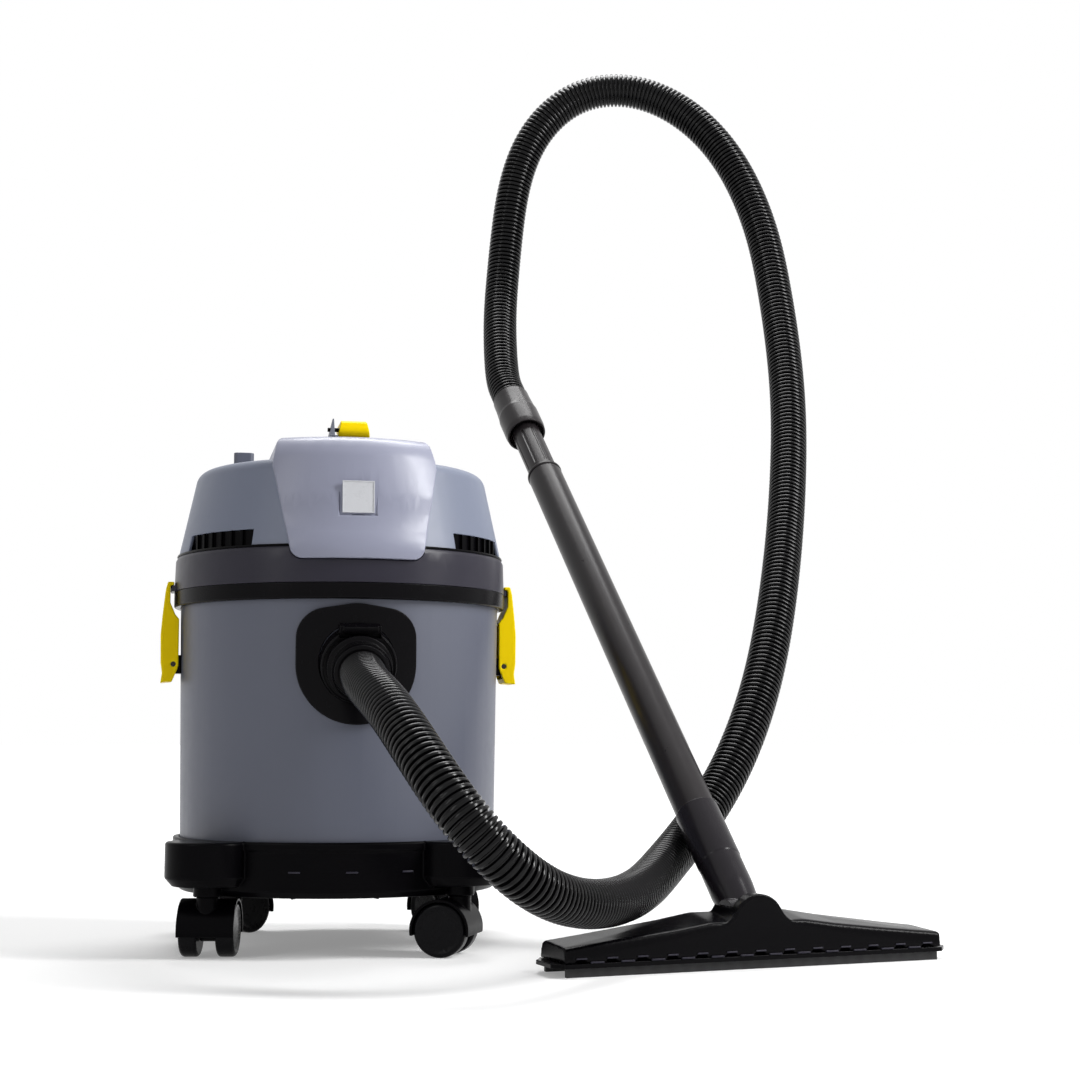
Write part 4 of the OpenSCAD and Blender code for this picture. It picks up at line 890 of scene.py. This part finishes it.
@dataclass
class Hose:
    """The ribbed hose, from the inlet connector to the cuff."""

    diameter: float = 0.042
    bore: float = 0.033
    rib_pitch: float = 0.0056
    rib_depth: float = 0.0030
    sides: int = 26
    rib: Sequence[float] = (0.0, 0.88, 1.0, 1.0, 0.88, 0.0)
    connector_length: float = 0.046
    hose_end: float = 0.820
    straight: Sequence[float] = (0.0, 0.5, 1.1)
    dots_each: int = 40
    measuring_steps: int = 800
    bore_rings: int = 240
    crease: float = 35
    middle: Sequence[Sequence[float]] = (
        (0.010, -0.320, 0.228), (0.028, -0.378, 0.188), (0.058, -0.420, 0.135), (0.110, -0.412, 0.085),
        (0.160, -0.360, 0.065), (0.208, -0.298, 0.060), (0.252, -0.232, 0.066), (0.290, -0.165, 0.083),
        (0.335, -0.108, 0.112), (0.380, -0.070, 0.158), (0.415, -0.038, 0.210), (0.445, -0.002, 0.265),
        (0.470, 0.035, 0.325), (0.492, 0.075, 0.382), (0.512, 0.115, 0.440), (0.530, 0.155, 0.500),
        (0.545, 0.192, 0.562), (0.556, 0.228, 0.625), (0.562, 0.262, 0.690), (0.564, 0.294, 0.758),
        (0.562, 0.322, 0.826), (0.550, 0.350, 0.894), (0.526, 0.376, 0.958), (0.484, 0.402, 1.014),
        (0.420, 0.425, 1.050), (0.345, 0.444, 1.044), (0.290, 0.455, 0.990), (0.265, 0.455, 0.920),
        (0.255, 0.448, 0.850), (0.247, 0.436, 0.786), (0.239, 0.415, 0.725),
    )
    route: list[Vector] = field(default_factory=list)

    def __post_init__(self) -> None:
        """Works out the whole route from its two ends and its middle."""
        reach = [k * self.diameter for k in self.straight]
        port, wand = LAYOUT.port_place(), LAYOUT.wand_place()
        start = [port @ Vector((0, 0, self.connector_length + run)) for run in reach]
        end = [wand @ Vector((0, 0, self.hose_end + run)) for run in reversed(reach)]
        self.route = start + [Vector(p) for p in self.middle] + end

    def _control(self, index: int) -> Vector:
        """A point of the route, mirrored past either end."""
        last = len(self.route) - 1
        if index < 0:
            return 2 * self.route[0] - self.route[1]
        if index > last:
            return 2 * self.route[last] - self.route[last - 1]
        return self.route[index]

    def point(self, u: float) -> Vector:
        """The centre line at a place between 0 and the last route point."""
        i = min(int(u), len(self.route) - 2)
        t = u - i
        a, b, c, d = (self._control(i + k) for k in (-1, 0, 1, 2))
        return ((1 - t) ** 3 * a + (3 * t ** 3 - 6 * t * t + 4) * b
                + (-3 * t ** 3 + 3 * t * t + 3 * t + 1) * c + t ** 3 * d) / 6

    def stations(self, count: int) -> list[Vector]:
        """Points at equal distances along the centre line.

        Args:
            count: how many steps.

        Returns:
            One point more than the steps.
        """
        spans = len(self.route) - 1
        fine = self.dots_each * spans
        dots = [self.point(spans * k / fine) for k in range(fine + 1)]
        run = [0.0]
        for a, b in zip(dots, dots[1:]):
            run.append(run[-1] + (b - a).length)
        found, k = [], 0
        for step in range(count + 1):
            goal = run[-1] * step / count
            while k < fine - 1 and run[k + 1] < goal:
                k += 1
            share = (goal - run[k]) / (run[k + 1] - run[k])
            found.append(dots[k].lerp(dots[k + 1], share))
        return found

    def tube(self, line: list[Vector], radius: Callable[[int], float], sides: int) -> Shape:
        """Wraps a grid round a line.

        Args:
            line: the centre line's points, one for each ring.
            radius: the radius of each ring.
            sides: facets round it.

        Returns:
            An open tube.
        """
        shape = Shape()
        rings = len(line)
        bmesh.ops.create_grid(shape.bm, x_segments=sides, y_segments=rings - 1, size=0.5)
        heads = [(line[min(k + 1, rings - 1)] - line[max(k - 1, 0)]).normalized() for k in range(rings)]
        side = heads[0].orthogonal().normalized()
        frames = []
        for head in heads:
            side = (side - head * side.dot(head)).normalized()
            frames.append((side.copy(), head.cross(side)))
        for vert in shape.bm.verts:
            ring = round((vert.co.y + 0.5) * (rings - 1))
            angle = math.tau * (vert.co.x + 0.5)
            a, b = frames[ring]
            vert.co = line[ring] + radius(ring) * (math.cos(angle) * a + math.sin(angle) * b)
        bmesh.ops.remove_doubles(shape.bm, verts=shape.bm.verts, dist=TUBE_MERGE * MM)
        return shape

    def build(self) -> None:
        dots = self.stations(self.measuring_steps)
        length = sum((b - a).length for a, b in zip(dots, dots[1:]))
        ribs = round(length / self.rib_pitch)
        rings = ribs * len(self.rib)

        def outer(ring: int) -> float:
            """Radius over the ribs."""
            return self.diameter / 2 - self.rib_depth * (1 - self.rib[ring % len(self.rib)])

        line = self.stations(rings)
        skin = self.tube(line, outer, self.sides)
        bore = self.tube(self.stations(self.bore_rings), lambda ring: self.bore / 2, self.sides)
        for shape in (skin, bore):
            bmesh.ops.recalc_face_normals(shape.bm, faces=shape.bm.faces)
        bmesh.ops.reverse_faces(bore.bm, faces=bore.bm.faces)
        skin.joined(bore)
        rims = [e for e in skin.bm.edges if len(e.link_faces) == 1]
        for near in (line[0], line[-1]):
            loop = [e for e in rims if (e.verts[0].co - near).length < self.diameter]
            bmesh.ops.bridge_loops(skin.bm, edges=loop)
        made = skin.piece("hose_ribbed", Slot.HOSE, body_of_node("hose"), ["hose"], self.crease)
        self.stations(400)
        LOG.info("hose: %.3f m, %d ribs", length, ribs)


# ---- sub-assemblies ----


@dataclass
class Drum:
    """The tank, its rim band and the dolly."""

    edge: float = 0.6
    dolly_edge: float = 1.2
    dolly_facets: int = 3
    dolly_radius: float = 159.5
    bar: Ledge = Ledge(11.0, 1.4, 2.0, 1.6, 0.5)
    bar_low: float = 79.2
    bar_turns: Sequence[float] = (-20.0, -1.0, 18.0)

    def front_bars(self) -> Shape:
        """Three short raised bars round the dolly's front."""
        turns = [Matrix.Rotation(math.radians(turn), 4, "Z") for turn in self.bar_turns]
        return gathered([Shape.bar(self.bar, 0, -self.dolly_radius, self.bar_low).moved(t) for t in turns])

    def build(self) -> None:
        """Makes the pieces."""
        refined("tank", "tank_shell", self.edge)
        refined("tank_band", "tank_rim_band", self.edge, finish=PLATE_BLACK)
        refined("dolly", "dolly_base", self.dolly_edge, self.dolly_facets)
        self.front_bars().piece("dolly_front_bars", Slot.BLACK, "drum", finish=RING_BLACK)


@dataclass
class Head:
    """The motor head's shells, badge, vents, hooks, gland and power lever."""

    edge: float = 0.7
    trim_edge: float = 0.4
    thin_edge: float = 0.3
    fine_edge: float = 0.2
    cowl_edge: float = 1.2
    cowl_facets: int = 3
    cowl_crease: float = 30
    hook_skin: Skin = Skin(0.6, 6)
    paddle_skin: Skin = Skin(0.5, 3)
    # sizes of the black ring of painted shade that stands for the shadow gap under the cover
    seam_shadow_inner: float = 159.6
    seam_shadow_outer: float = 162.4
    seam_shadow_low: float = 379.3
    seam_shadow_high: float = 381.4
    seam_shadow_round: float = 0.5
    seam_shadow_steps: int = 192
    badge_half: float = 15.0
    badge_front: float = -157.1
    badge_middle: float = 425.6
    border: float = 1.3
    border_rise: float = 0.5
    border_edge: float = 0.15
    fin: Taper = Taper(-19.0, 489.0, 506.6, 1.0, 0.25)
    paddle: Taper = Taper(0.0, 489.1, 505.1, 1.07, 0.84)

    def seam_shadow_band(self) -> Shape:
        """A black ring of painted shade that stands for the shadow gap between the ring and the cover."""
        middle, shoulder = (self.seam_shadow_low + self.seam_shadow_high) / 2, self.seam_shadow_outer - self.seam_shadow_round
        return Shape.spun([
            (self.seam_shadow_inner, self.seam_shadow_low), (shoulder, self.seam_shadow_low), (self.seam_shadow_outer, middle),
            (shoulder, self.seam_shadow_high), (self.seam_shadow_inner, self.seam_shadow_high)], self.seam_shadow_steps)

    def badge_border(self) -> Shape:
        """A raised rim round the bare plate."""
        shape = Shape()
        place = Matrix.Translation((0, (self.badge_front - self.border_rise) * MM, self.badge_middle * MM))
        bmesh.ops.create_grid(shape.bm, x_segments=1, y_segments=1, size=self.badge_half * MM,
                              matrix=place @ Matrix.Rotation(math.radians(90), 4, "X"))
        middle = shape.bm.faces[:]
        bmesh.ops.inset_region(shape.bm, faces=middle, thickness=self.border * MM, use_boundary=True)
        bmesh.ops.delete(shape.bm, geom=middle, context="FACES")
        bmesh.ops.recalc_face_normals(shape.bm, faces=shape.bm.faces)
        bmesh.ops.solidify(shape.bm, geom=shape.bm.faces[:], thickness=self.border_rise * 2 * MM)
        bmesh.ops.recalc_face_normals(shape.bm, faces=shape.bm.faces)
        return shape.softened(self.border_edge)

    def build(self) -> None:
        """Makes the pieces."""
        refined("head_ring", "head_ring_shell", self.edge, finish=RING_BLACK)
        refined("head_cover", "head_cover_shell", self.edge, finish=COVER_GREY)
        refined("front_cowl", "front_fairing", self.cowl_edge, self.cowl_facets, self.cowl_crease)
        # painted shade: a black ring where the shadow gap between the cover and the ring falls
        self.seam_shadow_band().piece("cover_seam_shadow_band", Slot.BLACK, "head")
        refined("badge_plate", "bare_badge", self.thin_edge)
        self.badge_border().piece("badge_rim", Slot.BADGE, "head")
        refined("vent_grilles", "vent_bars", self.fine_edge)
        moulded("cable_hooks", "cable_hook_pair", self.hook_skin)
        refined("cable_gland", "cable_gland_body", self.trim_edge)
        refined("lever_bracket", "lever_fin", self.thin_edge, taper=self.fin)
        refined("lever_pin", "lever_pin_rod", self.fine_edge)
        moulded("power_lever", "power_lever_paddle", self.paddle_skin, self.paddle)
        refined("switch_body", "switch_case", self.trim_edge)


@dataclass
class Inlet:
    """The hose port with its plate, connector and release key."""

    edge: float = 0.6
    shield_edge: float = 1.0
    shield_facets: int = 3
    collar_front: float = 20.0
    bead_radii: Sequence[float] = (29.6, 33.4)
    bead: float = 0.55
    bead_sides: int = 8
    bead_steps: int = 80
    key_gap: float = 84.0
    lip_radius: float = 27.0
    lip_places: Sequence[float] = (39.5, 44.6)

    def ring(self, radius: float, height: float, sweep: float = 360, start: float = 0) -> Shape:
        """A bead with a rounded section.

        Args:
            radius: of its centre line, in millimetres.
            height: along the port's axis, in millimetres.
            sweep: how far it goes round, in degrees.
            start: where it starts, in degrees.

        Returns:
            The bead.
        """
        turns = [math.tau * k / self.bead_sides for k in range(self.bead_sides)]
        section = [(radius + self.bead * math.cos(t), height + self.bead * math.sin(t)) for t in turns]
        return Shape.spun(section, self.bead_steps, sweep, start)

    def beads(self) -> Shape:
        """The fine rings on the collar, open where the release key slides, and on the hose end piece."""
        place = LAYOUT.port_place()
        up = 90.0 if (place.to_3x3() @ Vector((0, 1, 0))).z > 0 else -90.0
        sweep, start = 360 - self.key_gap, up + self.key_gap / 2
        rings = [self.ring(radius, self.collar_front, sweep, start) for radius in self.bead_radii]
        rings += [self.ring(self.lip_radius, height) for height in self.lip_places]
        return gathered(rings).moved(place)

    def build(self) -> None:
        """Makes the pieces."""
        refined("inlet_plate", "inlet_shield", self.shield_edge, self.shield_facets, finish=PLATE_BLACK)
        refined("inlet_port", "inlet_collar", self.edge, finish=PLATE_BLACK)
        refined("hose_connector", "hose_end_piece", self.edge, finish=PLATE_BLACK)
        self.beads().piece("collar_beads", Slot.BLACK, "drum", finish=PLATE_BLACK)
        refined("release_key", "release_key_pad", self.edge, finish=PLATE_BLACK)


@dataclass
class Latches:
    """The two yellow latches with their brackets."""

    skin: Skin = Skin(0.7, 4)
    bracket_edge: float = 0.4

    def build(self) -> None:
        """Makes the pieces."""
        moulded("latch_left", "latch_left_clip", self.skin)
        moulded("latch_right", "latch_right_clip", self.skin)
        refined("latch_brackets", "latch_bracket_pair", self.bracket_edge)
        keep_node("latch_pins", RIVET_DARK)


@dataclass
class Casters:
    """Four twin-wheel casters."""

    corners: Sequence[str] = ("fl", "fr", "br", "bl")
    guard_edge: float = 0.6
    tyre_edge: float = 0.4

    def build(self) -> None:
        """Makes the pieces."""
        for corner in self.corners:
            refined(f"caster_hood_{corner}", f"caster_guard_{corner}", self.guard_edge)
            refined(f"caster_wheels_{corner}", f"caster_tyres_{corner}", self.tyre_edge)
            keep_node(f"caster_pins_{corner}")


@dataclass
class Wand:
    """Cuff, grip, wand and neck."""

    edge: float = 0.6
    radius: float = 19.5
    top: float = 672.0
    grip_edge: float = 0.3
    lip_steps: int = 96
    lip_section: Profile = ((-1.2, -6.0), (0.5, -5.2), (0.7, -4.0), (0.5, -2.8), (-1.2, -2.0))

    def lip(self) -> Shape:
        """The bead round the wand's upper end."""
        profile = [(self.radius + out, self.top + up) for out, up in self.lip_section]
        return Shape.spun(profile, self.lip_steps).moved(LAYOUT.wand_place())

    def build(self) -> None:
        """Makes the pieces."""
        refined("hose_cuff", "hose_cuff_bell", self.edge, finish=FINISHES[Slot.WAND])
        refined("grip_tube", "grip_fluted", self.grip_edge, finish=FINISHES[Slot.WAND])
        refined("wand_tube", "wand_shaft", self.edge)
        self.lip().piece("wand_lip", Slot.WAND, "drum")
        refined("tool_neck", "tool_neck_socket", self.edge, finish=NECK_BLACK)
        keep_node("tool_pin")


@dataclass
class FloorTool:
    """The wide floor tool."""

    edge: float = 0.6
    strip_edge: float = 0.3
    skin: Skin = Skin(1.1, 5)
    length: float = 372.0
    front: float = -29.0
    notches: int = 13
    lintel: Ledge = Ledge(10.0, 1.1, 2.0, 1.3)
    lintel_low: float = 15.2
    ledge: Ledge = Ledge(12.4, 1.8, 1.0, 1.4)
    ledge_low: float = 11.9
    drop: float = 1.0
    drop_along: Sequence[float] = (50.0, 80.0)
    drop_up: Sequence[float] = (22.0, 32.0)

    def row(self, ledge: Ledge, count: int, low: float) -> list[Shape]:
        """A row of equal ledges along the front, a notch's pitch apart."""
        middles = [(k - (count - 1) / 2) * self.length / self.notches for k in range(count)]
        return [Shape.bar(ledge, middle, self.front, low) for middle in middles]

    def skirt(self) -> Shape:
        """The staggered ledges along the front: one over each notch and a lower one between each pair."""
        over = self.row(self.lintel, self.notches, self.lintel_low)
        between = self.row(self.ledge, self.notches - 1, self.ledge_low)
        return gathered(over + between).moved(LAYOUT.tool_place())

    def shell(self) -> Shape:
        """The moulded shell, its ends a hair lower on top so that the hose clears them at full tilt."""
        shape = Shape.of_node("tool_shell").relaxed(self.skin)
        inward = LAYOUT.tool_place().inverted()
        for vert in shape.bm.verts:
            along, up = abs((inward @ vert.co).x) / MM, vert.co.z / MM
            share = ramp(along, *self.drop_along) * ramp(up, *self.drop_up)
            vert.co.z -= self.drop * share * MM
        return shape

    def build(self) -> None:
        """Makes the pieces."""
        self.shell().piece("floor_tool_shell", Slot.BLACK, "floor_tool", ["tool_shell"], SMOOTH, TOOL_BLACK)
        self.skirt().piece("floor_tool_skirt", Slot.BLACK, "floor_tool", finish=RING_BLACK)
        refined("tool_sole", "floor_tool_sole", self.edge, finish=TOOL_BLACK)
        refined("tool_strips", "floor_tool_strips", self.strip_edge, finish=BRISTLES)


@dataclass
class Works:
    """What is inside: motor, filter, seals and screws."""

    nodes: Sequence[str] = (
        "dolly_screws", "inlet_screws", "inlet_deflector", "head_screws", "tank_seal",
        "motor_deck", "deck_screws", "fan_housing", "motor_bracket", "stator", "bearings", "motor_shaft",
        "armature", "impeller", "float_cage", "float_ball", "filter_cartridge",
    )

    def build(self) -> None:
        """Dresses the CAD nodes that keep their own form."""
        for node in self.nodes:
            keep_node(node)


def main() -> None:
    """Builds the studio, then the hose, then each sub-assembly."""
    logging.basicConfig(level=logging.INFO, format="%(message)s")
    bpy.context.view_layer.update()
    kinds = (Studio, Hose, Drum, Head, Inlet, Latches, Casters, Wand, FloorTool, Works)
    for kind in kinds:
        LOG.info("building %s", kind.__name__)
        kind().build()


if __name__ == "__main__":
    main()
